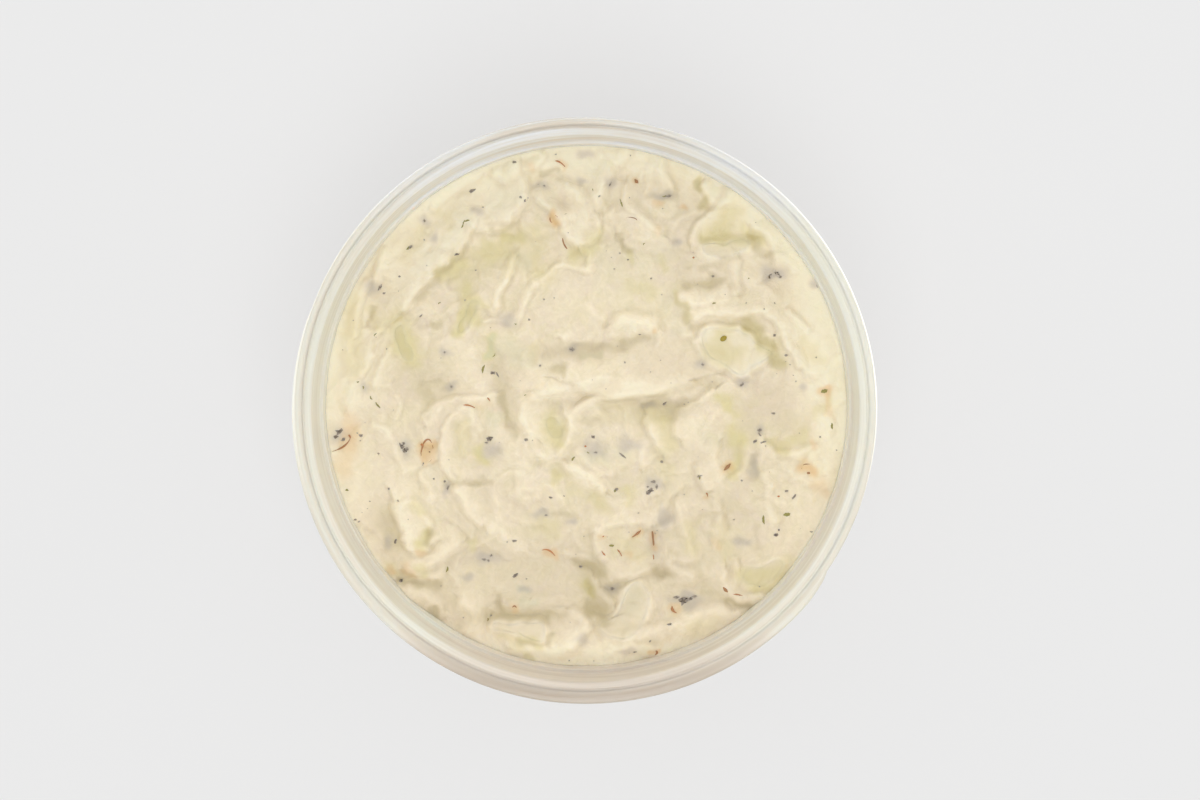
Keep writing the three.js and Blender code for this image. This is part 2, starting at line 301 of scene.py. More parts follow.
# Milk, with painted shade: warmer and darker on the near side and darkest on the bead there. Painted light
# keeps it cool on the far side. Below the food's level it is painted cream, as the food would show through
# the wall
near_side = back.rising(-43.75, -56.25)
far_side = back.rising(34.3, 48.6)
on_bead = away.rising(RIM_RADIUS - 1.3, RIM_RADIUS - 0.63)
below_level = up.rising(37.5, 36.5)
milk_with_painted_shade = haze.blend(colour(254, 248, 235), colour(254, 250, 238))
milk_with_painted_shade = (0.8 * near_side).blend(milk_with_painted_shade, colour(232, 221, 207))
milk_with_painted_shade = far_side.blend(milk_with_painted_shade, colour(250, 253, 252))
milk_with_painted_shade = (near_side * on_bead).blend(milk_with_painted_shade, colour(208, 193, 174))
milk_with_painted_shade = below_level.blend(milk_with_painted_shade, colour(255, 242, 226))

# Streaks show above the food and fade out towards the left and right, soonest at the far right
above_food = up.rising(36.5, 39).clamped(0.16)
lines = (3.6 * flow - 1.4).clamped()
faint = (1 - 10 * sideways - 8 * (right + back - 0.05).clamped()).clamped()
# Painted shade: the streaks are darker on the near side
streaked = near_side.blend(colour(234, 224, 208), colour(220, 210, 196))

# Painted highlight: the rim's outer edge glows as if it caught the light, most on the right and not on the
# near and far sides
edge_glow_highlight = away.rising(RIM_RADIUS - 0.31, RIM_RADIUS - 0.03) * up.rising(44, 45.67)
edge_glow_highlight = edge_glow_highlight * sideways.rising(16.7, 50) * back.rising(-22.5, 2.5) * right.rising(-88.9, 22.2)
surfaced(tub, plastic, shade, {
    "Base Color": (above_food * faint * (1 - lines)).blend(milk_with_painted_shade, streaked),
    "Roughness": 0.1 + 0.14 * flow,
    "IOR": 1.45,
    "Transmission Weight": 0.22,
    "Subsurface Weight": 1.0,
    "Subsurface Radius": (1.0, 0.95, 0.85),
    "Subsurface Scale": 0.0006,
    "Emission Color": edge_glow_highlight.blend((0, 0, 0, 1), (1, 1, 0.98, 1)),
    "Emission Strength": 0.8,
    "Normal": shade.node("ShaderNodeBump", None, {"Strength": 0.3, "Distance": 0.0002, "Height": flow}),
})


# The yoghurt. Strained, thick and stirred with grated cucumber, so a spoon leaves folds that keep
# their shape: smooth crests, sharp creases and shreds under the skin. It fills the tub to the
# stacking ledge and wets the wall, and its top is a fine net pushed into the folds.
LEVEL = 37.3
WET = 0.15
NET = 300
MELD = 2.5

# Folds: from, through and to (x, y), how far each falls away on its left and right, its height.
# Below zero it is a crease. Millimetres from the tub's axis, x to the right and y away.
FOLDS = [
    # the long fold across the middle, and the lobe that it ends in
    (-1.0, 4.2, 9.0, 3.0, 20.8, 5.4, 5.6, 1.0, 1.5), (-9.6, 3.4, -4.0, 3.8, 3.4, 6.2, 1.7, 1.9, 1.4),
    (-2.6, -0.4, 1.2, 1.5, 5.4, 3.2, 1.1, 1.3, 0.9), (-10.6, 2.0, -12.8, -1.6, -10.6, -5.8, 2.6, 1.4, 1.2),
    (-11.5, -6.0, -12.6, -9.4, -12.8, -13.0, 2.4, 1.4, 0.6),
    (-4.4, -0.8, -2.9, -4.4, -5.0, -8.3, 1.5, 1.0, 1.0),
    (-5.0, -8.7, -7.8, -9.7, -10.6, -8.0, 1.6, 1.4, 0.9),
    (-8.2, -12.2, -5.8, -11.2, -3.6, -13.0, 0.8, 0.7, 0.6),
    (-3.0, -12.0, 0.0, -13.7, 3.4, -16.6, 0.9, 2.0, 1.1), (3.8, 1.2, 11.0, 1.0, 19.0, 1.9, 0.9, 1.5, -0.8),
    (-3.2, 0.2, 0.4, 2.5, 4.6, 4.7, 0.8, 0.8, -0.6), (-17.2, 2.6, -16.6, -0.4, -14.6, -4.8, 1.0, 1.2, -0.7),
    (-4.6, 11.0, 1.0, 12.2, 7.4, 12.4, 1.0, 1.4, -0.5), (7.0, 12.5, 9.2, 13.5, 13.0, 14.2, 0.8, 1.2, -0.5),
    (6.4, 17.0, 10.0, 17.6, 13.4, 16.6, 1.6, 1.7, 1.4), (-6.2, 14.6, -5.2, 14.4, -4.4, 13.6, 0.6, 0.6, 0.5),
    (0.4, 20.6, 2.2, 19.2, 3.4, 17.8, 0.9, 0.9, 0.4),
    # right of the middle
    (12.2, -2.0, 13.4, -5.0, 15.4, -8.8, 2.2, 0.9, 1.2),
    (10.8, -8.0, 11.2, -10.0, 11.6, -12.4, 0.8, 0.6, 0.5),
    (18.8, -5.6, 19.8, -1.2, 25.6, 3.4, 1.0, 3.4, 0.8),
    (26.6, -8.0, 26.2, -11.2, 28.0, -14.6, 0.9, 2.0, 0.7),
    (32.6, -8.6, 32.2, -12.0, 29.6, -15.2, 0.9, 0.9, 0.7),
    (23.0, -12.6, 23.3, -14.6, 25.0, -16.4, 1.6, 0.8, 0.8),
    (37.0, -7.8, 39.4, -9.6, 46.0, -8.0, 0.9, 1.6, 0.9),
    (41.6, -13.8, 46.0, -15.4, 49.6, -15.0, 1.6, 1.0, 0.5),
    # round the big shred on the right, with the deep crease behind it
    (31.6, 17.5, 35.0, 15.2, 38.0, 12.6, 1.2, 1.0, -0.4),
    (38.0, 12.6, 39.8, 11.0, 39.2, 8.6, 1.2, 1.4, -0.35),
    (22.0, 18.0, 27.0, 19.4, 34.6, 19.4, 1.3, 1.3, 1.2), (34.6, 19.4, 38.6, 17.4, 43.2, 9.0, 2.4, 0.8, 1.0),
    (22.9, 13.8, 23.8, 10.4, 27.6, 8.2, 1.4, 0.9, 0.9), (41.6, 19.4, 43.0, 17.8, 44.6, 16.2, 0.9, 0.8, 0.8),
    (43.0, 10.0, 45.0, 8.0, 46.8, 6.8, 0.8, 0.9, 0.6),
    # upper right: the flat lump and the spike over it
    (20.6, 21.6, 24.0, 21.4, 28.4, 22.0, 2.3, 2.0, 1.1),
    (19.2, 23.0, 19.4, 20.8, 22.6, 18.8, 0.9, 0.9, 0.5),
    (30.8, 29.6, 30.5, 27.0, 30.8, 23.6, 0.8, 0.9, 1.1),
    (20.2, 24.9, 23.4, 24.4, 26.6, 25.6, 0.8, 0.8, -1.0),
    # upper right: the wedge at the wall
    (21.9, 34.4, 22.8, 36.2, 25.4, 39.2, 0.9, 1.4, 1.3),
    (25.4, 39.2, 27.4, 41.4, 29.2, 43.6, 0.9, 1.4, 1.3),
    (24.0, 34.6, 29.0, 34.9, 33.6, 35.2, 0.9, 0.8, -0.7),
    (33.6, 35.6, 36.6, 33.8, 37.0, 30.2, 0.7, 0.7, -0.6),
    (34.6, 36.6, 38.0, 34.2, 38.6, 30.8, 1.4, 0.9, 0.9),
    (37.8, 29.8, 40.0, 30.4, 42.2, 28.6, 1.0, 1.0, 0.6),
    (24.2, 45.0, 25.0, 42.8, 27.4, 41.8, 1.3, 0.8, 0.8),
    # top
    (-9.8, 42.4, -7.2, 40.6, -5.4, 38.0, 1.6, 0.9, 1.1),
    (-5.6, 38.0, -3.6, 35.2, -2.0, 33.0, 2.4, 0.9, 1.4), (2.2, 39.0, 2.3, 36.2, 0.2, 33.8, 0.8, 2.4, 1.2),
    (-4.2, 45.0, -1.6, 43.0, 0.0, 40.6, 1.2, 1.2, 0.9), (4.2, 47.0, 2.6, 43.6, 1.2, 40.0, 1.2, 1.4, 1.0),
    (8.2, 52.0, 5.6, 49.6, 4.0, 46.6, 1.1, 1.6, 0.9), (8.2, 44.8, 8.1, 42.2, 9.6, 40.2, 1.6, 0.8, 0.9),
    (9.6, 40.2, 12.0, 37.6, 14.8, 35.4, 1.3, 1.8, 1.0), (5.4, 40.2, 5.9, 37.6, 7.4, 35.0, 0.8, 0.8, 0.6),
    (6.4, 35.6, 7.6, 33.4, 10.0, 31.2, 0.7, 0.7, -0.7), (13.2, 48.8, 13.1, 46.8, 12.2, 44.6, 0.9, 0.8, 0.6),
    (15.2, 50.0, 15.8, 47.2, 17.2, 45.0, 1.0, 1.0, 0.9),
    (-18.2, 47.6, -16.4, 46.4, -14.4, 48.0, 1.4, 1.2, 0.8),
    (-10.2, 52.0, -9.4, 50.4, -11.6, 48.4, 0.9, 0.9, 0.8),
    (-12.4, 37.0, -10.4, 35.8, -8.2, 36.4, 1.1, 1.0, 0.5),
    (-9.0, 47.4, -7.0, 47.6, -5.2, 48.0, 0.6, 0.6, -0.5),
    # the thin branching fold under the top
    (-13.2, 18.6, -12.2, 22.6, -10.4, 25.2, 0.9, 0.8, 0.7),
    (-10.6, 25.2, -8.0, 26.2, -5.6, 28.7, 0.8, 1.2, 1.1),
    (-5.6, 28.7, -3.6, 29.0, -0.2, 28.0, 0.7, 0.7, 0.8), (-0.2, 28.0, 1.0, 28.8, 0.6, 31.6, 0.8, 0.7, 0.8),
    (-18.0, 20.4, -17.0, 24.6, -14.4, 29.6, 0.9, 0.9, 1.0),
    # the long fold along the upper left wall
    (-37.4, 20.4, -33.6, 24.2, -29.8, 28.6, 4.2, 1.0, 1.5),
    (-29.8, 28.6, -26.6, 31.8, -22.9, 36.8, 4.0, 0.9, 1.6),
    (-22.9, 36.8, -18.8, 36.6, -15.6, 38.6, 3.8, 1.0, 1.6),
    (-15.6, 38.6, -13.4, 42.0, -13.2, 48.0, 2.6, 1.2, 1.3),
    (-35.6, 21.8, -31.0, 26.6, -26.2, 32.4, 0.6, 0.5, 0.7),
    (-26.2, 32.4, -23.2, 35.6, -19.8, 37.6, 0.6, 0.5, 0.7),
    (-34.0, 31.4, -29.0, 36.4, -22.0, 40.2, 1.8, 1.6, 0.6),
    (-31.0, 41.4, -26.6, 44.6, -22.6, 46.6, 1.8, 1.1, 0.8),
    (-42.8, 26.6, -41.8, 29.0, -41.0, 31.2, 1.0, 1.0, 0.8),
    # left wall
    (-44.6, 25.0, -46.2, 20.0, -47.2, 14.4, 0.7, 1.2, 1.1),
    (-47.4, 14.4, -48.0, 10.0, -48.2, 6.0, 1.0, 1.6, 0.6),
    (-47.6, 9.4, -47.2, 5.4, -48.2, 1.6, 1.4, 1.6, 0.8),
    (-41.6, 16.4, -43.4, 12.2, -46.0, 6.8, 0.8, 1.1, 1.0),
    (-40.2, 12.2, -41.6, 8.6, -43.2, 4.6, 0.9, 1.0, 0.6),
    (-43.2, -3.6, -41.2, -4.4, -39.4, -6.6, 0.8, 0.8, 0.5),
    # left of the middle: the low fold and the hook under it
    (-32.8, -3.2, -31.2, 0.2, -26.4, 1.5, 0.8, 2.4, 0.8),
    (-26.4, 1.5, -22.4, 1.8, -18.8, 2.6, 0.8, 2.2, 0.7),
    (-28.4, -13.0, -29.2, -6.4, -26.8, -1.8, 0.7, 1.8, 0.8),
    (-26.8, -1.8, -24.0, -0.6, -21.6, -4.6, 0.7, 1.2, 0.6),
    (-25.0, -9.4, -25.4, -5.2, -23.2, -3.0, 0.8, 0.9, 0.6),
    (-35.0, -12.8, -34.4, -15.0, -33.2, -17.2, 0.8, 0.8, -0.5),
    (-38.6, -8.0, -38.2, -11.0, -36.4, -12.8, 0.8, 0.9, 0.5),
    # lower left
    (-39.2, -19.4, -37.9, -22.8, -36.8, -26.4, 3.2, 1.0, 1.3),
    (-36.8, -26.4, -35.8, -28.9, -32.8, -28.6, 2.6, 1.0, 1.2),
    (-37.8, -20.0, -34.8, -19.6, -32.4, -23.8, 0.9, 1.4, 0.8),
    (-36.2, -32.7, -31.2, -31.4, -26.2, -27.8, 1.6, 1.3, 1.3),
    (-36.0, -32.9, -33.8, -34.0, -31.4, -34.9, 1.3, 1.0, 0.9),
    (-37.8, -35.6, -34.0, -36.1, -28.8, -37.0, 1.2, 1.2, -0.8),
    (-36.4, -37.2, -33.4, -38.4, -30.4, -40.2, 1.4, 1.6, 0.9),
    (-31.0, -40.6, -31.4, -42.2, -29.8, -43.8, 0.8, 0.8, -0.8),
    (-27.0, -15.8, -24.8, -19.4, -21.4, -23.8, 2.6, 1.0, 1.0),
    (-19.0, -17.8, -17.6, -21.8, -19.0, -25.2, 1.6, 1.2, 0.6),
    (-20.6, -23.0, -16.6, -26.0, -12.0, -29.0, 0.8, 1.8, 0.6),
    (-13.0, -13.0, -13.8, -16.4, -12.6, -19.6, 1.6, 0.8, 0.4),
    (-26.6, -15.7, -23.4, -15.9, -20.2, -15.0, 0.7, 0.7, -0.5),
    (-24.8, -39.6, -22.8, -42.0, -24.2, -45.6, 1.6, 1.6, 0.9),
    # bottom, round the shreds that lie there
    (2.4, -25.2, 1.9, -28.0, 4.0, -31.2, 1.4, 0.9, 1.1),
    (4.0, -31.2, 6.6, -33.7, 12.2, -33.0, 1.2, 1.2, 0.9),
    (2.2, -25.0, 6.0, -23.7, 12.6, -23.6, 1.7, 0.7, 0.8),
    (12.0, -23.2, 14.2, -22.0, 16.4, -20.2, 1.3, 1.2, 0.8),
    (-4.0, -29.8, 1.0, -31.0, 5.0, -34.6, 0.9, 0.9, 0.6),
    (1.6, -35.4, 2.7, -37.7, 4.9, -40.1, 0.8, 1.1, 1.2),
    (-2.6, -42.0, 0.2, -44.4, -2.8, -48.8, 1.0, 2.2, 1.2),
    (-20.6, -43.1, -14.0, -42.7, -6.0, -43.4, 1.5, 1.1, -1.0),
    (-13.4, -46.9, -11.2, -47.7, -8.8, -48.6, 0.6, 0.7, -0.5),
    (-14.4, -49.0, -8.6, -50.2, -3.0, -49.2, 1.3, 1.4, 0.8),
    (9.6, -47.0, 13.6, -45.9, 18.4, -44.4, 1.4, 2.0, 1.2),
    (18.4, -44.4, 22.6, -42.2, 28.0, -41.4, 1.4, 2.4, 1.1),
    # lower right
    (28.0, -33.6, 28.6, -36.6, 31.6, -38.4, 1.0, 1.6, 1.1),
    (31.6, -38.4, 33.4, -38.9, 35.6, -38.6, 1.0, 1.2, 0.9),
    (30.6, -31.0, 31.0, -33.4, 30.4, -36.0, 0.7, 0.7, 0.7),
    (29.0, -39.6, 32.6, -40.3, 35.2, -39.6, 0.8, 0.8, -0.9),
    (36.0, -19.6, 37.4, -21.3, 38.4, -23.2, 1.0, 0.9, 0.8),
    (19.0, -19.8, 19.4, -22.6, 20.2, -25.4, 1.2, 1.1, 0.8),
    (27.8, -18.8, 28.7, -21.4, 29.1, -24.8, 0.7, 0.7, -0.6),
    (26.4, -19.2, 27.2, -22.0, 26.8, -25.4, 1.2, 1.0, 0.6),
    (17.0, -30.8, 18.4, -33.3, 21.6, -34.4, 1.2, 1.2, 0.9),
    (18.0, -30.4, 20.6, -31.3, 23.0, -30.6, 0.9, 0.9, 0.6),
    (20.2, -26.2, 20.8, -28.0, 21.6, -29.8, 0.9, 0.9, 0.5),
    (25.0, -24.4, 26.0, -26.0, 26.6, -27.6, 0.9, 0.9, 0.5),
]

# Domes and, below zero, hollows: x, y, half length, half width, turn in degrees, height
DOMES = [
    (-5.6, 8.0, 1.8, 1.2, 10, -0.7), (-5.6, -13.6, 1.5, 1.2, 0, -0.8), (-6.5, -4.0, 2.6, 2.6, 0, -0.3),
    (16.6, -2.0, 2.2, 2.0, 0, -0.5), (2.9, 8.7, 0.9, 0.4, 30, -0.4), (-31.6, 3.2, 3.6, 2.2, 20, -0.6),
    (-43.0, 23.6, 2.2, 1.8, 30, -0.6), (-32.2, -26.4, 1.2, 1.3, 0, -1.0),
    (-40.4, -25.4, 2.8, 3.6, 10, -0.6), (15.4, -33.8, 1.8, 1.3, 0, -1.0), (1.0, -32.5, 3.4, 1.3, -25, -1.0),
    (0.7, -36.8, 0.9, 1.8, 8, -1.0), (5.4, -37.0, 1.6, 0.9, -10, -0.7), (2.2, -41.6, 3.4, 1.7, -10, -1.3),
    (-17.8, -40.8, 0.9, 1.6, 10, -0.7), (28.6, 37.0, 2.8, 1.8, 20, -0.4), (22.6, 43.8, 1.1, 2.4, -10, -0.7),
    (24.2, 41.4, 1.0, 0.9, 0, -0.6), (-4.0, 42.0, 1.8, 1.6, 0, -0.5), (19.6, 22.0, 1.4, 1.3, 0, 0.5),
    (20.0, -5.8, 1.3, 1.1, 0, 0.5), (-17.8, 22.8, 2.0, 2.4, 30, 0.6), (2.6, -15.4, 1.2, 1.4, 40, 0.4),
    (-12.6, -1.6, 2.4, 2.4, 0, 0.4), (-14.6, -9.0, 1.8, 2.4, 0, 0.4), (34.6, -2.0, 6.0, 5.0, 0, -0.3),
    (3.0, 24.0, 8.0, 5.0, 0, -0.3), (-32.0, 6.0, 6.0, 5.0, 0, -0.2), (-8.0, -33.0, 7.0, 4.0, 0, -0.3),
    (36.0, -28.0, 5.0, 4.0, 0, -0.3), (44.0, 30.0, 4.0, 12.0, 40, 0.5), (47.0, 14.0, 3.0, 9.0, 8, 0.5),
    (25.0, -36.0, 3.0, 2.0, 0, -0.4),
]

# Where the surface lies slack and smooth: x, y, half length, half width
CALM = [
    (4, 24, 11, 7), (-32, 7, 8, 7), (36, 0, 7, 6), (-9, -33, 10, 5), (36, -28, 8, 6), (-44, -16, 6, 8),
    (-6, 18, 9, 4), (-22, 10, 6, 6), (44, 26, 6, 14), (6, -8, 6, 4), (-40, -26, 4, 5), (42, 0, 6, 6),
    (16, 28, 5, 6), (0, 47, 6, 4), (24, -39, 6, 4), (10, 8, 9, 2), (13, 2, 8, 2),
]


def to_segments(x, y, corners):
    """Distance from points to a chain of chords, and on which side of it each lies."""
    starts, ends = corners[:-1], corners[1:]
    chords = ends - starts
    off_x = x[:, None] - starts[:, 0]
    off_y = y[:, None] - starts[:, 1]
    lengths = (chords**2).sum(1)
    along = np.clip((off_x * chords[:, 0] + off_y * chords[:, 1]) / lengths, 0, 1)
    distance = np.hypot(off_x - along * chords[:, 0], off_y - along * chords[:, 1])
    nearest = distance.argmin(1)
    rows = np.arange(len(x))
    cross = chords[nearest, 0] * off_y[rows, nearest] - chords[nearest, 1] * off_x[rows, nearest]
    return distance[rows, nearest], np.sign(cross)


def bow(x0, y0, x1, y1, x2, y2, steps=10):
    """Points of a curve from the first place through the second to the third."""
    t = np.linspace(0, 1, steps + 1)[:, None]
    first, middle, last = np.array([x0, y0]), np.array([x1, y1]), np.array([x2, y2])
    bend = 2 * middle - (first + last) / 2
    return (1 - t) ** 2 * first + 2 * t * (1 - t) * bend + t**2 * last


def near(x, y, corners, reach):
    """Which points lie within reach of a chain's own box."""
    low, high = corners.min(0) - reach, corners.max(0) + reach
    return (x > low[0]) & (x < high[0]) & (y > low[1]) & (y < high[1])


def oval(x, y, middle_x, middle_y, half_length, half_width, turn=0):
    """Distance from an oval's middle, 1 on its edge."""
    c, s = math.cos(math.radians(turn)), math.sin(math.radians(turn))
    along = (x - middle_x) * c + (y - middle_y) * s
    across = (y - middle_y) * c - (x - middle_x) * s
    return np.hypot(along / half_length, across / half_width)


# Fine shreds under the skin lie roughly along the stirring, each a small ridge, one in four a dent
FINE_SHREDS = 560
chance = np.random.default_rng(11)
shreds = []
for number in range(FINE_SHREDS):
    away = wall_radius(LEVEL) * math.sqrt(chance.random())
    round_by = chance.uniform(0, FULL_TURN)
    x, y = away * math.cos(round_by), away * math.sin(round_by)
    heading = round_by + math.pi / 2 + chance.normal(0, 0.8)
    half = chance.uniform(0.7, 3.8)
    sag = chance.normal(0, 0.6)
    step_x, step_y = half * math.cos(heading), half * math.sin(heading)
    if number % 4:
        slopes = [chance.uniform(0.9, 2.6), chance.uniform(0.4, 0.9)]
        chance.shuffle(slopes)
        rise = chance.uniform(0.12, 0.5)
    else:
        slopes = [chance.uniform(0.35, 0.6), chance.uniform(0.5, 1.2)]
        rise = -chance.uniform(0.08, 0.26)
    middle_x, middle_y = x - sag * step_y / half, y + sag * step_x / half
    shreds.append((x - step_x, y - step_y, middle_x, middle_y, x + step_x, y + step_y, *slopes, rise))

# Waves: ripples raise the surface, and wander bends the folds sideways. Shortest and longest, size.
RIPPLES = [(9, 16, 0.09)] * 12 + [(3, 6, 0.02)] * 26 + [(1.4, 2.6, 0.004)] * 30
WANDER = [(5, 9, 0.12)] * 6 + [(2.2, 4, 0.05)] * 8
ripples = [
    (FULL_TURN / chance.uniform(shortest, longest), *chance.uniform(0, FULL_TURN, 2), size)
    for shortest, longest, size in RIPPLES
]
wander = [
    (FULL_TURN / chance.uniform(shortest, longest), *chance.uniform(0, FULL_TURN, 3), size)
    for shortest, longest, size in WANDER
]

# A spoon leaves a fold steep on one side and long on the other
strokes = []
for number, (*course, left, right, height) in enumerate(FOLDS):
    if height < 0:
        left, right, height = 1.15 * left, 1.15 * right, 0.6 * height
    elif left > 1.15 * right or (number % 2 and left >= 0.87 * right):
        left, right = 1.3 * left, 0.8 * right
    else:
        left, right = 0.8 * left, 1.3 * right
    strokes.append((bow(*course), left, right, height, False))
strokes += [(bow(*shred[:6]), *shred[6:], True) for shred in shreds]


# Outlines (x, y) of the cucumber shreds that break the surface, and how high each stands
CUCUMBERS = {
    "cucumber_right": (1.5, [
        (23.2, 14.0), (23.6, 15.9), (25.6, 16.5), (29.0, 16.2), (31.6, 15.9), (34.2, 13.8), (36.4, 12.2),
        (38.4, 11.0), (36.4, 9.4), (33.8, 8.0), (31.4, 6.3), (27.8, 8.6), (24.4, 10.6),
    ]),
    "cucumber_bottom": (1.2, [
        (8.6, -36.6), (10.4, -35.3), (12.2, -35.9), (13.2, -38.2), (12.9, -41.0), (12.0, -43.6),
        (10.4, -46.4), (7.8, -47.6), (4.6, -47.2), (2.2, -45.6), (2.6, -44.0), (5.2, -43.2), (6.4, -41.4),
        (7.4, -39.0),
    ]),
    "cucumber_bottom_left": (1.2, [
        (-19.4, -44.2), (-18.4, -43.9), (-16.4, -44.3), (-13.4, -43.6), (-10.6, -44.0), (-8.6, -44.1),
        (-8.1, -46.2), (-8.8, -48.1), (-11.2, -47.6), (-14.0, -46.6), (-17.0, -45.7), (-19.0, -45.6),
    ]),
    "cucumber_upper_right": (0.8, [
        (23.2, 33.2), (25.4, 33.6), (28.6, 33.8), (32.4, 34.6), (33.8, 33.4), (31.6, 31.2), (28.2, 30.0),
        (25.0, 30.6), (23.4, 31.6),
    ]),
    "cucumber_lower_right": (0.7, [
        (31.4, -34.2), (33.0, -32.4), (36.4, -31.8), (39.2, -30.6), (40.8, -31.8), (39.2, -34.6),
        (36.8, -36.8), (33.6, -36.6), (31.8, -35.8),
    ]),
    "cucumber_left": (0.6, [
        (-39.0, 16.6), (-37.4, 17.4), (-36.4, 14.4), (-35.0, 11.0), (-35.4, 9.0), (-37.2, 9.4),
        (-38.8, 11.8), (-39.4, 14.4),
    ]),
    "cucumber_upper_left": (0.6, [
        (-22.2, 22.6), (-21.4, 21.0), (-22.4, 18.2), (-24.0, 15.6), (-25.8, 14.4), (-26.6, 15.6),
        (-25.4, 18.6), (-24.0, 21.4),
    ]),
    "cucumber_centre": (0.5, [
        (-7.8, -1.4), (-5.6, -1.8), (-4.2, -3.6), (-4.0, -5.6), (-5.4, -7.0), (-7.4, -6.6), (-8.8, -4.6),
        (-8.8, -2.6),
    ]),
}


def closed_curve(corners, steps=8):
    """Points of a smooth closed line through corners."""
    corners = np.array(corners)
    before, after, beyond = np.roll(corners, 1, 0), np.roll(corners, -1, 0), np.roll(corners, -2, 0)
    t = (np.arange(steps) / steps)[:, None, None]
    line = 0.5 * (
        2 * corners + (after - before) * t + (2 * before - 5 * corners + 4 * after - beyond) * t**2
        + (3 * corners - before - 3 * after + beyond) * t**3
    )
    return line.transpose(1, 0, 2).reshape(-1, 2)


def inside_of(x, y, outline):
    """Which points lie inside a closed chain."""
    odd = np.zeros(len(x), dtype=bool)
    for (x0, y0), (x1, y1) in zip(outline[:-1], outline[1:]):
        spans = (y0 > y) != (y1 > y)
        rise = y1 - y0 if y1 != y0 else 1
        odd ^= spans & (x < x0 + (y - y0) * (x1 - x0) / rise)
    return odd


# Yoghurt coats these shreds: it lies over them and climbs their edges in a brim. The brim runs a
# little inside each outline; its heights are shares of how high the shred stands.
BRIM_INSET = 0.9
BRIM_CREST, BRIM_PLATEAU = 0.78, 0.66
BRIM_WITHIN, BRIM_OUTSIDE = 1.0, 0.95
brims = []
for stand, corners in CUCUMBERS.values():
    line = closed_curve(corners, 3)
    line = line.mean(0) + BRIM_INSET * (line - line.mean(0))
    brims.append((stand, np.vstack([line, line[:1]])))


def folded(x, y):
    """How far folds raise places and creases sink them, how slack they are, and where they lie on
    the spine or at the foot of a fold."""
    for pitch, heading, phase_x, phase_y, size in wander:
        wave = pitch * (x * math.cos(heading) + y * math.sin(heading))
        x, y = x + size * np.sin(wave + phase_x), y + size * np.sin(wave + phase_y)
    raised = np.zeros_like(x)
    sunk = np.zeros_like(x)
    calm = np.ones_like(x)
    spine = np.zeros_like(x)
    foot = np.zeros_like(x)
    for patch in CALM:
        calm *= 1 - 0.6 * np.exp(-oval(x, y, *patch) ** 4)
    for corners, left, right, height, calmed in strokes:
        close = near(x, y, corners, 2.6 * max(left, right))
        if not close.any():
            continue
        distance, side = to_segments(x[close], y[close], corners)
        across = distance / np.where(side > 0, left, right)
        swell = height * np.exp(-(across**2))
        held = min(1, height) * (calm[close] if calmed else 1)
        if calmed:
            swell = swell * calm[close]
        if height > 0:
            raised[close] += swell**MELD
            steep = (side > 0) == (left < right)
            spine[close] = np.maximum(spine[close], held * np.exp(-((distance / 0.45) ** 2)))
            foot[close] = np.maximum(foot[close], held * steep * np.exp(-(((across - 1.8) / 0.6) ** 2)))
        else:
            sunk[close] += swell
    for *shape, height in DOMES:
        swell = height * np.exp(-oval(x, y, *shape) ** 2)
        if height > 0:
            raised += swell**MELD
        else:
            sunk += 0.7 * swell
    for stand, outline in brims:
        close = near(x, y, outline, 3)
        distance, _ = to_segments(x[close], y[close], outline)
        within = inside_of(x[close], y[close], outline)
        lift = BRIM_CREST * np.exp(-((distance / np.where(within, BRIM_WITHIN, BRIM_OUTSIDE)) ** 2))
        lift = np.where(within, np.maximum(lift, BRIM_PLATEAU), lift)
        raised[close] += (stand * lift) ** MELD
        spine[close] = np.maximum(spine[close], min(1, stand) * np.exp(-((distance / 0.6) ** 2)))
    return raised ** (1 / MELD), sunk, calm, spine, foot


def relief(x, y):
    """Height of the yoghurt's surface in millimetres at places in millimetres."""
    raised, sunk, calm, _, _ = folded(x, y)
    rough = np.zeros_like(x)
    for pitch, heading, phase, size in ripples:
        rough += size * np.sin(pitch * (x * math.cos(heading) + y * math.sin(heading)) + phase)
    return LEVEL + raised + sunk + rough * (0.35 + 0.65 * calm)


def disc_net(count):
    """A square net drawn evenly over a disc of radius 1."""
    u, v = np.meshgrid(np.linspace(-1, 1, count + 1), np.linspace(-1, 1, count + 1))
    wide = np.abs(u) > np.abs(v)
    away = np.where(wide, u, v)
    safe = np.where(away == 0, 1, away)
    angle = np.where(wide, math.pi / 4 * v / safe, math.pi / 2 - math.pi / 4 * u / safe)
    return away * np.cos(angle), away * np.sin(angle)


def softened(field, passes):
    """The field with its small bumps averaged out, over the net."""
    for _ in range(passes):
        padded = np.pad(field, 1, mode="edge")
        field = (padded[:-2, 1:-1] + padded[2:, 1:-1] + padded[1:-1, :-2] + padded[1:-1, 2:]) / 4
    return field


top_radius = wall_radius(LEVEL) + WET
net_x, net_y = disc_net(NET)
net_x, net_y = net_x * top_radius, net_y * top_radius
net_z = relief(net_x.ravel(), net_y.ravel()).reshape(net_x.shape)
from_wall = top_radius - np.hypot(net_x, net_y)

# It wets the wall and climbs it, most on the far side, and the edge follows the wall's taper
CLIMB_REACH = 0.55
climb_angle = np.arctan2(net_y, net_x)
climb = 0.35 + 0.15 * np.sin(3 * climb_angle + 1) + 0.12 * np.sin(7 * climb_angle)
climb = (climb + 0.1 * np.sin(17 * climb_angle + 2)) * (0.65 + 0.35 * np.sin(climb_angle))
net_z = net_z + climb * np.exp(-from_wall / CLIMB_REACH)
follow = 1 + (wall_radius(net_z) - wall_radius(LEVEL)) / top_radius * np.exp(-from_wall / 1.5)
net_x, net_y = net_x * follow, net_y * follow

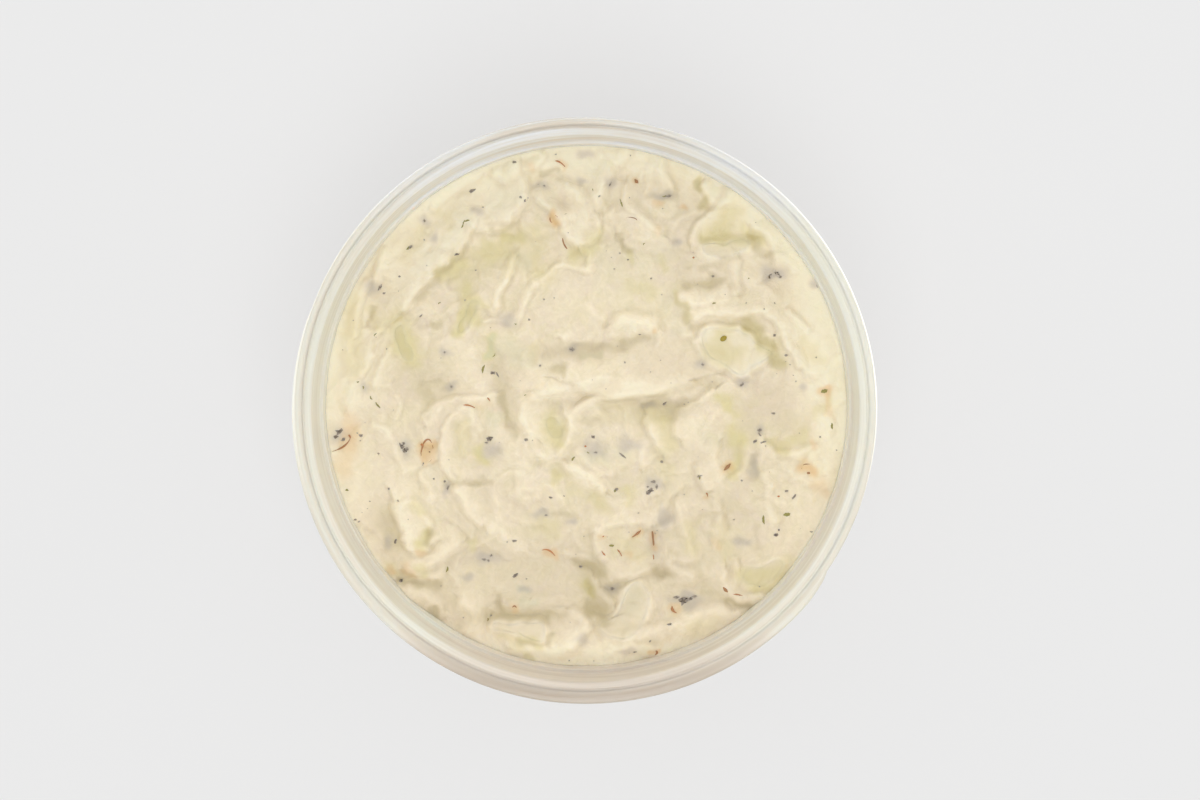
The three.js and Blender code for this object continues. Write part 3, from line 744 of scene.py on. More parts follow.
# Thick yoghurt swells: crests are pushed out sideways, which rounds them and pinches the creases
PUFF = 0.32
smooth = softened(net_z, 4)
spacing = 2 * top_radius / NET
slope_v, slope_u = np.gradient(smooth, spacing)
jacobian = [np.gradient(field, spacing) for field in (net_x, net_y)]
det = jacobian[0][1] * jacobian[1][0] - jacobian[0][0] * jacobian[1][1]
det = np.where(np.abs(det) < 0.2, 0.2, det)
slope_x = (slope_u * jacobian[1][0] - slope_v * jacobian[1][1]) / det
slope_y = (slope_v * jacobian[0][1] - slope_u * jacobian[0][0]) / det
inside = np.clip(from_wall / 1.5, 0, 1)
shift = PUFF * inside / np.maximum(1, np.hypot(slope_x, slope_y) / 1.2)
puffed_x = net_x - shift * slope_x
puffed_y = net_y - shift * slope_y

points = [np.stack([puffed_x, puffed_y, net_z], -1).reshape(-1, 3)]
size = NET + 1
corner = np.arange(size * size).reshape(size, size)
quads = np.stack([corner[:-1, :-1], corner[:-1, 1:], corner[1:, 1:], corner[1:, :-1]], -1).reshape(-1, 4)
faces = [tuple(quad) for quad in quads.tolist()]
edge = np.concatenate([corner[0, :-1], corner[:-1, -1], corner[-1, :0:-1], corner[:0:-1, 0]])
edge_angle = np.arctan2(net_y.ravel()[edge], net_x.ravel()[edge])
edge_height = net_z.ravel()[edge]

# Down the wall, round its corner and in to the middle of the floor, ring under ring
corner_height = FLOOR + CORNER_ROUND
corner_middle = wall_radius(corner_height) - CORNER_ROUND
ring_shapes = []
for share in np.linspace(0, 1, 14)[1:]:
    height = edge_height + (corner_height - edge_height) * share
    ring_shapes.append((wall_radius(height) + WET, height))
for angle in np.radians([-15, -30, -45, -60, -75, -90]):
    away = corner_middle + (CORNER_ROUND + WET) * math.cos(angle)
    ring_shapes.append((away, 0 * edge_angle + corner_height + (CORNER_ROUND + WET) * math.sin(angle)))
above = edge
count = size * size
for away, height in ring_shapes:
    points.append(np.stack([away * np.cos(edge_angle), away * np.sin(edge_angle), height], -1))
    below = count + np.arange(len(edge))
    count += len(edge)
    ring_quads = np.stack([above, below, np.roll(below, -1), np.roll(above, -1)], -1)
    faces += [tuple(quad) for quad in ring_quads.tolist()]
    above = below
points.append(np.array([[0, 0, FLOOR - WET]]))
faces += [(a, count, b) for a, b in zip(above.tolist(), np.roll(above, -1).tolist())]

yoghurt_points = np.vstack(points)
yoghurt = build("yoghurt", yoghurt_points, faces)
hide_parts("dip")

# Tints are soft dabs from place to place: x, y, x, y, half width, strength.
# Cream is thick yoghurt with no whey on it, on folds and where it was wiped along the wall; the dabs
# also paint light on the folds' bright sides
CREAM = [
    (-30, 33, -20, 41, 2.6, 0.7), (-34, 26, -28, 33, 2.0, 0.6), (-17, 38, -16, 46, 2.6, 0.8),
    (-12.6, 43, -13, 49, 1.2, 0.7), (-15, 48, -11, 50, 1.0, 0.7), (-30, 42, -23, 46, 2.0, 0.5),
    (-42, 28, -39, 33, 1.0, 0.6), (-3.5, 35, -1.5, 39, 2.8, 0.7), (0.5, 41, 1.5, 49, 1.5, 0.5),
    (-5, 28.6, 0, 28.6, 0.9, 0.5), (-10, 26, -6, 28, 1.0, 0.4), (9, 43, 13, 37.5, 1.8, 0.6),
    (4, 38.5, 9, 34, 1.2, 0.3), (15.5, 48, 16.5, 44.8, 0.9, 0.7), (12, 47, 12.5, 44, 0.7, 0.4),
    (23, 35, 28, 42.5, 1.0, 0.8), (35, 37, 39, 33, 1.6, 0.6), (33, 32, 31, 33.5, 1.2, 0.4),
    (22, 31.2, 30, 32.4, 1.0, 0.5), (30.4, 24, 30.3, 29, 0.8, 0.6), (21, 23, 28, 23.6, 1.2, 0.7),
    (22, 19.2, 30, 19.6, 0.7, 0.6), (24, 47, 29, 42.6, 1.4, 0.6), (44, 30, 47, 16, 3.0, 0.5),
    (34, 19.5, 40, 17.6, 1.2, 0.7), (40, 17, 43.5, 10, 1.1, 0.8), (43.4, 17.6, 45.6, 14.4, 0.7, 0.7),
    (46, 12, 49, 2, 2.2, 0.4), (24, 15.6, 26, 16.4, 1.2, 0.5), (7.4, 16.8, 12.8, 16.8, 1.5, 0.8),
    (0.6, 20.4, 3.6, 18.2, 0.6, 0.5), (4, 4, 20, 4.4, 1.9, 0.9), (0, 2.8, 5, 4.6, 1.4, 0.7),
    (-13, 3.5, -7, 3.8, 1.6, 0.7), (-9.6, 2.6, -2, 3.6, 1.4, 0.6), (-12.6, 1.5, -10.8, -5, 2.8, 0.8),
    (12, 9.6, 20, 8.6, 2.6, 0.3), (-9.6, 9.8, -9.4, 12.8, 0.8, 0.6), (-4.4, 14, -3.6, 15, 0.6, 0.7),
    (13, -2.6, 15.2, -8, 0.9, 0.9), (19.6, -2.4, 21.6, -5.4, 2.2, 0.7), (11.4, -9, 12.4, -12, 0.9, 0.6),
    (-2, -12.8, 2.6, -15.8, 1.5, 0.9), (-6, -12.2, -9, -12, 0.6, 0.4), (27, -9.6, 26.4, -14.6, 1.6, 0.7),
    (38.4, -8.6, 46, -9.2, 0.9, 0.7), (23.4, -13, 24.6, -16, 0.9, 0.6), (37, -17.6, 38, -23, 0.8, 0.5),
    (42, -18.4, 42.6, -18.8, 0.5, 0.5), (-45, 24.6, -47, 14.6, 0.8, 0.9), (-42, 15.8, -45.4, 7.6, 0.9, 0.8),
    (-40, 12, -42.8, 5, 0.9, 0.5), (-38.6, 23.4, -35, 24.4, 1.2, 0.4), (-26, 12, -22.6, 6, 2.6, 0.5),
    (-30.8, -2.8, -30, -0.2, 0.7, 0.8), (-28.6, -12, -28.4, -3, 0.9, 0.8),
    (-26, -1.4, -22.4, -2.4, 1.0, 0.8), (-25, 1.2, -19, 2, 0.8, 0.4), (-43.4, -3.2, -40.4, -5.4, 0.7, 0.6),
    (-46.4, -14, -47.2, -17, 0.8, 0.6), (-13.2, -7, -13.4, -14, 1.4, 0.6),
    (-13.2, -14, -12.8, -19, 1.0, 0.5), (-24, -8, -26.2, -13, 1.0, 0.3), (-38, -20.6, -36.4, -26, 1.4, 0.9),
    (-36, -26.6, -35, -29, 1.4, 0.9), (-34, -22, -33, -24, 0.9, 0.4), (-35, -32.4, -27, -28.6, 1.1, 0.8),
    (-34, -33.6, -31, -34.4, 1.0, 0.6), (-26.4, -16.6, -22.4, -22.4, 1.5, 0.8),
    (-20, -23.4, -13, -28.6, 1.4, 0.7), (-19, -19.8, -17, -24.8, 0.8, 0.4),
    (-36, -37.6, -31.4, -40, 1.1, 0.5), (-24.4, -41, -22.6, -44.6, 1.8, 0.7),
    (-18.6, -35, -19, -42, 1.0, 0.4), (2.4, -25.4, 3, -30.4, 1.0, 0.8), (3, -24.8, 12, -24, 1.1, 0.7),
    (4, -31.4, 11.6, -32.6, 1.0, 0.5), (13, -23, 16, -20.8, 1.1, 0.6), (19.2, -20.4, 19.8, -24.8, 1.0, 0.7),
    (2, -35.8, 4.6, -39.6, 0.8, 0.9), (-2.4, -42.6, 0.2, -45.6, 2.0, 0.8), (0, -46, -3.4, -49, 1.6, 0.6),
    (-13, -50, -4, -50.4, 1.2, 0.6), (9.6, -46.4, 20, -43.4, 1.1, 0.8), (20, -43, 27, -41.4, 1.2, 0.6),
    (17.4, -31, 18.8, -33.6, 0.9, 0.6), (18.6, -30.8, 22, -31, 0.6, 0.4),
    (28.4, -34, 30.4, -37.6, 0.9, 0.7), (31, -38.6, 35, -39.6, 0.8, 0.5), (-20, -45.6, -24, -48, 2, 0.3),
    (14, -50.4, 24, -47.6, 1.6, 0.5), (-48, 22, -49.4, 4, 3.2, 0.6), (-43.6, 24, -45.4, 8, 2.4, 0.4),
    (45.6, 26, 47.6, -2, 4.0, 0.5), (31, 42.4, 42, 32, 3.4, 0.7), (-33, 30, -17, 45, 4.2, 0.35),
    (-2.6, 38, 1, 49, 2.8, 0.45), (-2, 24, 6, 25, 5.0, 0.3), (12, 34, 15, 36, 3.0, 0.3),
    (-15, -8, -14, -16, 4.0, 0.3), (-24, 10, -23, 6, 3.0, 0.3), (-33.6, 22, -27.5, 33, 0.8, 0.5),
    (-27.5, 33, -20, 41.6, 0.8, 0.6), (4, 24, 8, 18, 4.0, 0.25), (-40, -12, -34, -16, 4, 0.3),
    (8, -8, 12, -6, 3, 0.2),
]
# Yoghurt wiped along the wall is the thickest, and these dabs paint it the brightest: painted light along
# the wall, where the wall shades the yoghurt, and on the shreds and the long fold
WIPED_AND_LIT = [
    (49, 24, 51, -3, 3.4, 1.0), (45, 16, 47, 4, 2.0, 0.6), (29, 43, 44, 30, 3.2, 1.0),
    (-48.6, 22, -50.8, 4, 2.6, 1.0), (-33, 40, -20, 47.6, 2.8, 0.8), (-14, 50, 18, 50, 1.8, 0.8),
    (-24, -46.4, -8, -50.6, 1.6, 0.8), (-8, -51, 18, -49.4, 1.8, 1.0), (26, -46, 42, -32, 1.4, 0.8),
    (46.6, -14, 50, -6, 2.2, 0.6), (-34, 28, -18, 43, 1.2, 0.5), (24.6, 36, 29, 43, 1.4, 0.8),
    (25, 15, 33, 13.4, 2.0, 0.8), (31, 10, 35, 11, 1.8, 0.8), (8.6, -37, 5, -42, 0.8, 0.6),
    (12.6, -38, 9, -46.6, 0.9, 0.6), (-18, -45, -9, -45.4, 1.0, 0.6), (0, 36, -2, 42, 1.6, 0.5),
    (4, 3.6, 19.6, 4.4, 1.0, 0.6), (24.6, -44.4, 31, -41.4, 1.2, 0.6), (27, 29, 34, 27, 2.4, 0.4),
    (30, 40, 36, 36, 2.4, 0.5), (-18, -44.6, -9, -45.6, 0.9, 0.8), (-12, -50.6, 4, -51.4, 1.6, 0.6),
    (24, 15.4, 30, 15.8, 0.9, 0.7), (24, 10.8, 31, 7.2, 0.9, 0.5), (28, 44, 40, 34, 2.6, 0.6),
    (26, 30, 34, 31, 2.6, 0.4), (29, 44, 36, 40, 1.8, 0.5), (-14, -49, -4, -50.4, 1.8, 0.7),
]
# Pools are where whey stands and the yoghurt is thin and dull; the broad ones on the near side are also
# painted shade
POOLS_AND_SHADE = [
    (-30, -38, -8, -34, 8.0, 0.5), (-8, -34, 24, -34, 8.0, 0.55), (-18, -43, -6, -42, 3.4, 0.6),
    (12.6, -24, 16, -34, 3.4, 0.5), (26, -24, 34, -30, 6.0, 0.4), (-19, 10, -15, 3, 3.2, 0.5),
    (-10, 11.4, 4, 11.2, 1.8, 0.7), (11.6, -0.6, 18.6, -0.8, 2.2, 0.6), (33, -2, 33, -12, 3.0, 0.5),
    (-43, -23, -38, -33, 2.6, 0.6), (0.6, -33, 3.6, -41.6, 3.2, 0.9), (17, -39, 23, -39.8, 2.4, 0.7),
    (-23, -30, -16, -32, 3.6, 0.4), (-10, -21, -6, -24, 3.0, 0.4), (8, 44.4, 18, 43.4, 2.6, 0.4),
    (36, 28, 39, 26, 2.6, 0.5), (-34, 4, -28, 3, 3.0, 0.4), (22, -37, 33, -41.4, 2.6, 0.5),
    (-31, -42, -26, -47, 4.0, 0.6), (20, 27, 28, 28, 2.4, 0.4), (-43.6, 26, -42, 22, 2.4, 0.4),
    (28, -6, 31, -14, 2.4, 0.3), (12, -14, 16, -20, 3.0, 0.3), (4, -19, 7, -15, 2.4, 0.3),
    (12, 8, 22, 10, 3.0, 0.5), (-24, -22, -16, -18, 4.0, 0.4), (18, -20, 32, -18, 4.0, 0.4),
    (37, 3, 42, -3, 3.0, 0.5), (-30, -6, -22, -12, 4.0, 0.3), (-16, -39, 16, -45, 3.0, 0.5),
    (23, -45.6, 29, -43.4, 1.6, 0.6), (-2, -22, 2, -20, 2.4, 0.3), (-36, 5, -33, 8, 3, 0.3),
    (6, 36, 8, 30, 1.6, 0.4), (21, 40, 19, 32, 2.6, 0.35), (14, 10, 24, 7, 4.0, 0.5),
    (18, -8, 24, -12, 4.0, 0.4), (2, -29, 18, -31, 4.0, 0.3), (-18, -38, -4, -40, 4.0, 0.3),
    (-30, 8, -22, -8, 4.0, 0.25), (-32.4, -8.4, -32.3, -9.8, 0.9, 0.8),
]
# Olive is whey and grated skin, caught in creases, and painted shade in the creases and on the shaded sides
# of folds
OLIVE = [
    (-3, 12, 7.6, 12.4, 1.0, 0.6), (8, 12.9, 12, 14.4, 0.9, 0.6), (3, 10.6, -1, 10.6, 0.5, 0.4),
    (-6.6, 7.8, -4.6, 8.2, 0.9, 0.8), (-17.2, 2.4, -16.4, -1, 0.9, 0.9), (-16, -2, -14.6, -6, 0.8, 0.7),
    (-34, 22.4, -28.4, 28.4, 0.8, 0.6), (-28, 28.6, -24.4, 32.4, 0.6, 0.5),
    (-44.6, 16.6, -43.2, 20.4, 0.5, 0.7), (-43.4, 11.6, -42, 15.2, 0.4, 0.6),
    (-34.6, 17.6, -33, 16.4, 0.8, 0.4), (-31.4, 16.6, -29.6, 17, 0.5, 0.7), (-33.6, 5, -30.4, 5, 0.5, 0.4),
    (-28.6, 3.8, -27.6, 4.2, 0.6, 0.5), (-32.6, 2.6, -32.4, -0.6, 1.2, 0.4), (32.6, 17.2, 36, 14, 0.9, 0.3),
    (36, 13.6, 39.4, 9.4, 1.0, 0.3), (37.6, 10, 39.6, 8.6, 1.1, 0.5), (18.8, 22, 21.8, 15.6, 0.7, 0.6),
    (20.6, 24.9, 27, 25.4, 0.8, 0.5), (26, 26, 27.6, 26, 0.8, 0.6), (24, 28.4, 30, 30.4, 0.7, 0.4),
    (33.4, 34, 37, 30.4, 0.9, 0.6), (6.6, 35, 7.4, 33.2, 0.6, 0.7), (8, 32.6, 9.6, 31, 0.6, 0.7),
    (12.6, 43, 18, 43, 0.7, 0.4), (-26.6, 42.4, -24, 43.6, 0.5, 0.5), (-8.6, 47.4, -6, 47.8, 0.6, 0.7),
    (0, 40.6, -5, 41.6, 1, 0.3), (-19.4, 36.6, -15, 37.4, 0.5, 0.4), (-34.2, -13, -34, -16.4, 0.5, 0.4),
    (-27, -15.5, -20.2, -15.1, 0.8, 0.6), (-40.4, -23, -39.4, -28, 1.8, 0.4),
    (-32.2, -26, -32.6, -27.4, 0.9, 0.9), (-38, -35.6, -30, -36.6, 0.8, 0.9),
    (-37, -33.6, -35.4, -35.6, 0.9, 0.6), (-31, -40.8, -31, -43.4, 0.7, 0.8),
    (-18, -39.6, -17.6, -42, 0.7, 0.8), (-20, -43, -8, -42.9, 0.9, 0.9), (-17, -41.6, -12, -41.4, 1.0, 0.4),
    (-2, -31.6, 3.6, -33.4, 1.1, 0.9), (0.6, -36, 1, -37.8, 0.9, 0.8), (5, -37, 6, -37.2, 1.2, 0.7),
    (1, -41, 3.4, -42.4, 1.5, 0.9), (3.6, -43.6, 1.6, -44.4, 0.8, 0.6), (14.6, -33.6, 16.6, -34, 1.2, 0.8),
    (29, -39.4, 36, -41.4, 0.6, 1.0), (24, -37.4, 28, -38.6, 0.7, 0.4),
    (14.6, -47.6, 10.4, -47.6, 0.8, 0.5), (-7.2, -46.6, -7.6, -48.6, 0.6, 0.7),
    (-14, -47.4, -11, -48.6, 0.7, 0.5), (-5, -42.4, -7, -43, 0.8, 0.5), (27.8, -19, 29, -24.6, 0.4, 0.5),
    (34.2, -10, 34, -14.8, 0.7, 0.5), (34.6, -24, 35.4, -28.6, 0.5, 0.4), (0, -2.6, 3, -3, 0.9, 0.5),
    (-28.4, -33, -28.2, -34, 0.4, 0.5), (17, -1.6, 19, -0.4, 1.2, 0.5), (12, 0.4, 22, 0.8, 1.2, 0.5),
    (-6.6, -21, -2, -22.4, 0.6, 0.5), (39, -10, 41, -10.4, 0.6, 0.4), (22.6, 44, 22.8, 46, 0.6, 0.6),
    (23.4, 41, 24.6, 42.4, 0.7, 0.6), (12, -0.6, 18, -1.4, 1.6, 0.4), (-9, 11, 3, 11.4, 1.2, 0.35),
    (0.4, -35, 4.4, -42, 1.8, 0.5), (-18, 7.6, -16, 4, 1.6, 0.4), (32.8, 17.6, 36.4, 14.2, 1.1, 0.4),
    (-23, -43.4, -18, -41, 1.4, 0.4),
]
# Green is cucumber flesh just under the skin of the yoghurt
GREEN = [
    (-38.4, 17.2, -37.6, 13.6, 2.6, 0.6), (-37.0, 13.6, -35.6, 10.4, 2.2, 0.85),
    (-24.4, 24, -23, 18, 1.8, 0.8), (-24.6, 19.6, -26.2, 15, 1.1, 1.0), (-22.4, 22, -20.8, 20.6, 0.8, 0.6),
    (-28.8, 27, -25.6, 29, 1.6, 0.8), (-16.6, 34.4, -13.4, 34.4, 1.2, 0.9),
    (-20.6, 31.4, -17, 31.8, 1.6, 0.6), (-10.6, 30.4, -9.6, 28, 1.2, 0.4), (-2, 31, -0.6, 31.4, 1.8, 0.8),
    (1.6, 32.6, 2.2, 35, 1.4, 0.6), (26, 35, 29.6, 39.6, 2.0, 0.6), (23.6, 34.6, 34, 33.8, 1.2, 0.7),
    (32, 36.4, 35.6, 33.6, 1.2, 0.6), (22.8, 44, 23, 46, 0.7, 0.7), (24, 41.6, 24.4, 42.4, 1.0, 0.6),
    (25, 11.2, 28.6, 9.6, 1.6, 0.55), (27, 13, 30.4, 11, 1.6, 0.5), (27, 2, 29.4, 0.4, 1.0, 0.8),
    (29.2, 0.4, 30.2, -2, 0.7, 0.5), (30, -5, 31, -7, 1.5, 0.8), (40, -8, 44.6, -5.4, 1.2, 0.6),
    (38, -7, 40, -9, 0.9, 0.5), (-7, -3, -6, -6, 2.0, 0.85), (-21.8, -9, -20.8, -11, 1.1, 0.9),
    (-6, -13.2, -5.6, -14, 1.4, 0.7), (-25, -4, -25, -8, 1.6, 0.4), (15.6, -3.4, 17, -8, 1.5, 0.5),
    (15.2, -10, 17, -14, 1.6, 0.3), (31, -10, 29.8, -14, 0.8, 0.7), (36, -34, 40, -34.6, 1.8, 0.7),
    (32, -34, 34, -36, 1.4, 0.7), (35, -37, 38, -37.4, 1.2, 0.8), (40, -32, 42, -31, 1.2, 0.4),
    (8, -17, 9, -18.6, 1.4, 0.5), (21, -24, 21.6, -29, 1.4, 0.4), (27, -24, 29, -30, 1.4, 0.3),
    (0, -36, 0.8, -37.6, 1.0, 1.0), (-9, -24, -6.6, -25, 1.8, 0.4), (-35, -20, -34, -21.4, 1.2, 0.5),
    (-33, -26, -33.4, -28, 1.2, 0.8), (-34, -33, -32.6, -34, 1.0, 0.6), (-40, -33, -39, -34, 1.2, 0.4),
    (-12.8, -47.6, -10, -48.4, 1.0, 0.7), (-17, -46.8, -13.4, -48.8, 1.0, 0.4),
    (-12.6, -50.8, -10.6, -52, 0.6, 0.7), (-23, -28, -23.4, -29, 0.9, 0.6), (-48, 22, -47, 8, 2.0, 0.4),
    (9, 31.4, 9, 30, 0.8, 0.6), (15.6, 30, 15.8, 28, 0.8, 0.5), (9, 24.4, 13, 23.6, 1.6, 0.5),
    (18.6, 22.6, 21, 18, 0.8, 0.5), (34, 1, 36, 2, 1.0, 0.2), (46.8, -1, 49.8, 1.6, 1.0, 0.5),
    (44, 13, 47, 10, 1.4, 0.4), (-10.5, 10, -11, 12.6, 1.0, 0.3), (5, -1, 12, -1.4, 2.4, 0.3),
    (-3, -16.4, 3, -19.4, 1.2, 0.4), (2, -18, 4, -21, 1.4, 0.3), (6, -26.8, 12, -29.6, 2.4, 0.3),
    (22, -45, 26, -44, 1.6, 0.3), (-30, 40, -27, 37, 1.0, 0.3), (-37, 30, -33, 36, 1.2, 0.3),
    (-44, 20, -42, 16, 1.0, 0.4), (-24, 29, -12, 34, 3.0, 0.4), (-14, 29, -8, 27, 2.4, 0.3),
    (-10, 36, -9, 33, 1.6, 0.3), (14, -1, 16, -2, 1.6, 0.4), (29, 16, 27, 14.6, 1.2, 0.5),
    (33, 17, 39.4, 9, 1.4, 0.8), (-19.2, 13.6, -19.6, 10.8, 1.1, 1.0), (42, -4, 46, -12, 2.6, 0.15),
    (30, 2, 32, -12, 1.6, 0.3),
]
# Mint is the bluish green of the flesh next to the seeds
MINT = [
    (-16.6, 12.6, -12.6, 9.4, 2.0, 0.45), (-19.2, 13.6, -19.6, 10.8, 0.8, 1.0),
    (-19, -2, -19, -3.6, 1.4, 0.5), (10, -38, 9, -41, 1.6, 0.3), (-13.4, -37, -12.6, -38, 0.8, 0.7),
    (-13, -40, -10.2, -39.8, 0.9, 0.6), (-12.6, 30.6, -12.4, 28.6, 1.0, 0.4), (-1, 10.6, 3, 10.8, 0.5, 0.6),
    (0, -10.4, 3, -10, 1.4, 0.4), (6, -9.4, 8, -9.6, 1.0, 0.4), (16, 32, 12, 30, 2.4, 0.2),
    (17, 22, 18.6, 16, 1.4, 0.3), (24, -5, 26, -7, 1.6, 0.3), (8, 24, 4, 30, 4.0, 0.2),
]
# Whey greyed by pepper just under the skin; the patch at (-40.2, -27.4), beside the lump at the lower left,
# is painted shadow
GREY = [
    (-9.3, 44.8, 1.5, 1.2), (-22.0, 39.6, 1.2, 1.0), (-32.8, 38.0, 1.6, 0.9), (-31.0, 34.4, 1.0, 1.2),
    (0.0, 51.4, 1.6, 1.0), (-0.8, 45.8, 1.0, 0.8), (4.8, 45.8, 1.2, 1.6), (15.6, 43.0, 2.4, 1.0),
    (18.6, 33.4, 1.0, 0.9), (37.8, 27.4, 2.4, 1.8), (37.9, 27.2, 1.6, 1.2), (46.4, 25.2, 1.2, 1.0),
    (-43.6, 24.2, 1.4, 1.6), (23.6, 9.0, 1.2, 1.2), (32.0, 5.2, 1.4, 1.0), (12.6, 0.4, 1.6, 0.8),
    (35.2, -4.4, 1.2, 1.2), (-19.0, -8.6, 2.2, 2.0), (14.0, -15.4, 1.8, 1.8), (-9.0, -21.8, 1.8, 1.0),
    (-20.4, -30.8, 2.8, 1.3), (5.4, -37.0, 1.8, 1.2), (20.8, -39.2, 3.0, 1.2), (16.4, -23.2, 1.4, 1.4),
    (-36.8, -8.6, 1.6, 2.0), (-50.4, -5.6, 2.4, 1.8), (-15.8, 17.6, 1.8, 1.4), (-27.4, 4.4, 1.2, 1.0),
    (-28.8, 11.2, 1.2, 1.0), (2.0, -8.4, 2.4, 2.0), (34.0, -12.0, 1.0, 2.4), (-0.8, -47.6, 1.6, 1.2),
    (-28.4, -16.6, 0.9, 1.6), (-12.8, -37.4, 1.4, 1.0), (-45.4, 4.2, 1.0, 1.0), (43.8, 4.0, 1.0, 0.8),
    (8.6, -50.0, 1.6, 0.8), (13.8, -27.6, 1.3, 3.4), (-40.2, -27.4, 1.0, 1.4), (20.6, -39.4, 3.4, 1.6),
    (8.4, -7.6, 2.6, 1.6), (15.6, -21.6, 1.0, 2.0), (-3.0, -23.4, 1.2, 0.8), (-2.6, 12.0, 1.4, 1.0),
    (31.6, -27.6, 1.6, 1.2), (-24.4, -34.8, 1.6, 1.0),
]
# Oil is orange, from the chilli, at the wall and round its bits
OIL = [
    (-48.2, -2.6, -47.4, -5.4, 1.6, 0.4), (-48.2, -5, -48.6, -7.6, 1.4, 0.35),
    (-48.6, -8.4, -49.6, -12.4, 2.0, 0.35), (-32.4, -8.4, -32.3, -9.8, 0.9, 0.7),
    (-33.2, -7.4, -31.4, -7.2, 0.8, 0.7), (-33.6, -8, -33.4, -10.6, 0.8, 0.6),
    (-31.2, -8, -31, -11, 0.7, 0.5), (13.9, -50.3, 14.3, -50.1, 0.5, 0.8),
    (44.6, -11.8, 45.6, -13, 1.2, 0.9), (46.2, -7.4, 46.4, -7.6, 0.7, 0.5),
    (14, 41.4, 14.8, 41.2, 0.7, 0.5), (14.4, 36.2, 14.8, 36, 0.7, 0.3), (47.6, -15.4, 48.4, -17, 1.4, 0.35),
    (-6.9, 38.8, -6.0, 37.8, 0.9, 0.9), (-7.6, -29.4, -6.4, -30.2, 0.8, 0.6),
    (-36.6, -33, -36, -34, 1.0, 0.4), (-40, -33.4, -39.6, -33.8, 0.8, 0.5),
    (48.4, 3.4, 48.8, 3.0, 0.9, 0.8), (49, 2, 49.6, -1, 0.8, 0.4), (18, -41, 18.4, -41.6, 0.9, 0.5),
    (-19.4, 0.4, -22, 0.2, 0.7, 0.2), (19.4, 40.9, 20, 40.7, 0.5, 0.6), (13.8, 15.6, 13.9, 15.5, 0.5, 0.6),
    (26.6, -27.8, 27, -28.4, 0.9, 0.3), (-11.2, 48.6, -11, 48.4, 0.6, 0.4),
    (-33.4, -29.8, -34, -29.6, 0.7, 0.5), (28.6, -12.4, 29.2, -12, 0.9, 0.7),
    (13.7, -26, 13.9, -28.4, 0.8, 0.6), (10.2, -26.2, 11, -25.4, 0.7, 0.6),
    (-5.2, 49.8, -4.4, 49, 0.7, 0.5), (10, 46.2, 10.4, 45.6, 0.6, 0.6), (3.4, -26.1, 3.5, -26.2, 0.6, 0.5),
    (8.4, -30, 8.5, -30, 0.6, 0.4), (-14.6, -41, -14.6, -41.4, 0.7, 0.6),
    (24.5, -17.7, 24.6, -17.8, 0.5, 0.5),
]


def dabs(tints, x, y):
    """How strongly a list of tints colours each place."""
    plain = np.ones_like(x)
    for x0, y0, x1, y1, half_width, strength in tints:
        ends = np.array([[x0, y0], [x1, y1]], dtype=float)
        close = near(x, y, ends, 2.4 * half_width)
        distance, _ = to_segments(x[close], y[close], ends)
        plain[close] *= 1 - strength * np.exp(-((distance / (1.15 * half_width)) ** 3))
    return 1 - plain


def stain(patches, x, y):
    """How strongly oval patches colour each place."""
    return 1 - np.prod([1 - np.exp(-oval(x, y, *patch) ** 3) for patch in patches], axis=0)


def paint(piece, name, values):
    """Stores one number for each point of a piece, for its material to read."""
    layer = piece.data.attributes.new(name, "FLOAT", "POINT")
    layer.data.foreach_set("value", np.asarray(values, dtype=np.float32))


# Waves that make the tints' edges ragged: shortest and longest, reach
JAGGED = [(2.6, 5, 0.14)] * 8 + [(1.3, 2.2, 0.035)] * 6
jagged = [
    (FULL_TURN / chance.uniform(shortest, longest), chance.uniform(0, FULL_TURN), reach)
    for shortest, longest, reach in JAGGED
]


def dress(piece, x, y, on_top, flesh):
    """Paints how thick, green or stained the yoghurt is at places on a piece, whether they are on
    top, and how much cucumber flesh shows there. The thickness paint also carries painted light on
    folds, spines and by the wall, and painted shade in creases and at the feet of folds."""
    raised, sunk, _, spine, foot = folded(x, y)
    away = np.hypot(x, y)
    ragged_x, ragged_y = x.copy(), y.copy()
    for pitch, heading, reach in jagged:
        wave = pitch * (x * math.cos(heading) + y * math.sin(heading))
        ragged_x += reach * np.sin(wave + heading)
        ragged_y += reach * np.cos(wave + 3 * heading)
    # Painted light: lighter by the wall, where the wall shades the yoghurt, and at the edge where it is
    # smeared on the wall
    by_wall = np.clip((away - 40) / 12, 0, 1)
    smeared_and_lit = np.clip((away - top_radius + 1.1) / 0.8, 0, 1)
    # Painted light on raised folds and along their spines, painted shade in creases
    thickness_and_shading = np.clip(0.24 + 0.4 * (1 - np.exp(-raised / 0.9)) + 0.45 * spine + 0.4 * sunk, 0, 1)
    bare = (1 - 0.6 * dabs(CREAM, ragged_x, ragged_y)) * (1 - 0.25 * by_wall) * (1 - 0.8 * smeared_and_lit)
    thickness_and_shading = 1 - (1 - thickness_and_shading) * bare + 0.45 * dabs(WIPED_AND_LIT, ragged_x, ragged_y)
    # Painted shade at the foot of each fold's steep side goes in with the olive
    whey_and_shade = 1 - (1 - dabs(OLIVE, ragged_x, ragged_y)) * (1 - 0.34 * foot)
    paint(piece, "crest", np.where(on_top, thickness_and_shading, 0.5))
    paint(piece, "olive", np.where(on_top, whey_and_shade, 0))
    paint(piece, "green", 1 - (1 - dabs(GREEN, ragged_x, ragged_y)) * (1 - flesh))
    paint(piece, "mint", dabs(MINT, ragged_x, ragged_y))
    paint(piece, "grey", stain(GREY, ragged_x, ragged_y))
    paint(piece, "oil", dabs(OIL, ragged_x, ragged_y))
    paint(piece, "pool", dabs(POOLS_AND_SHADE, ragged_x, ragged_y))
    # Painted light: brighter and yellower by the wall, more so towards the far side
    paint(piece, "butter", by_wall * np.clip((y + 34) / 30, 0, 1))


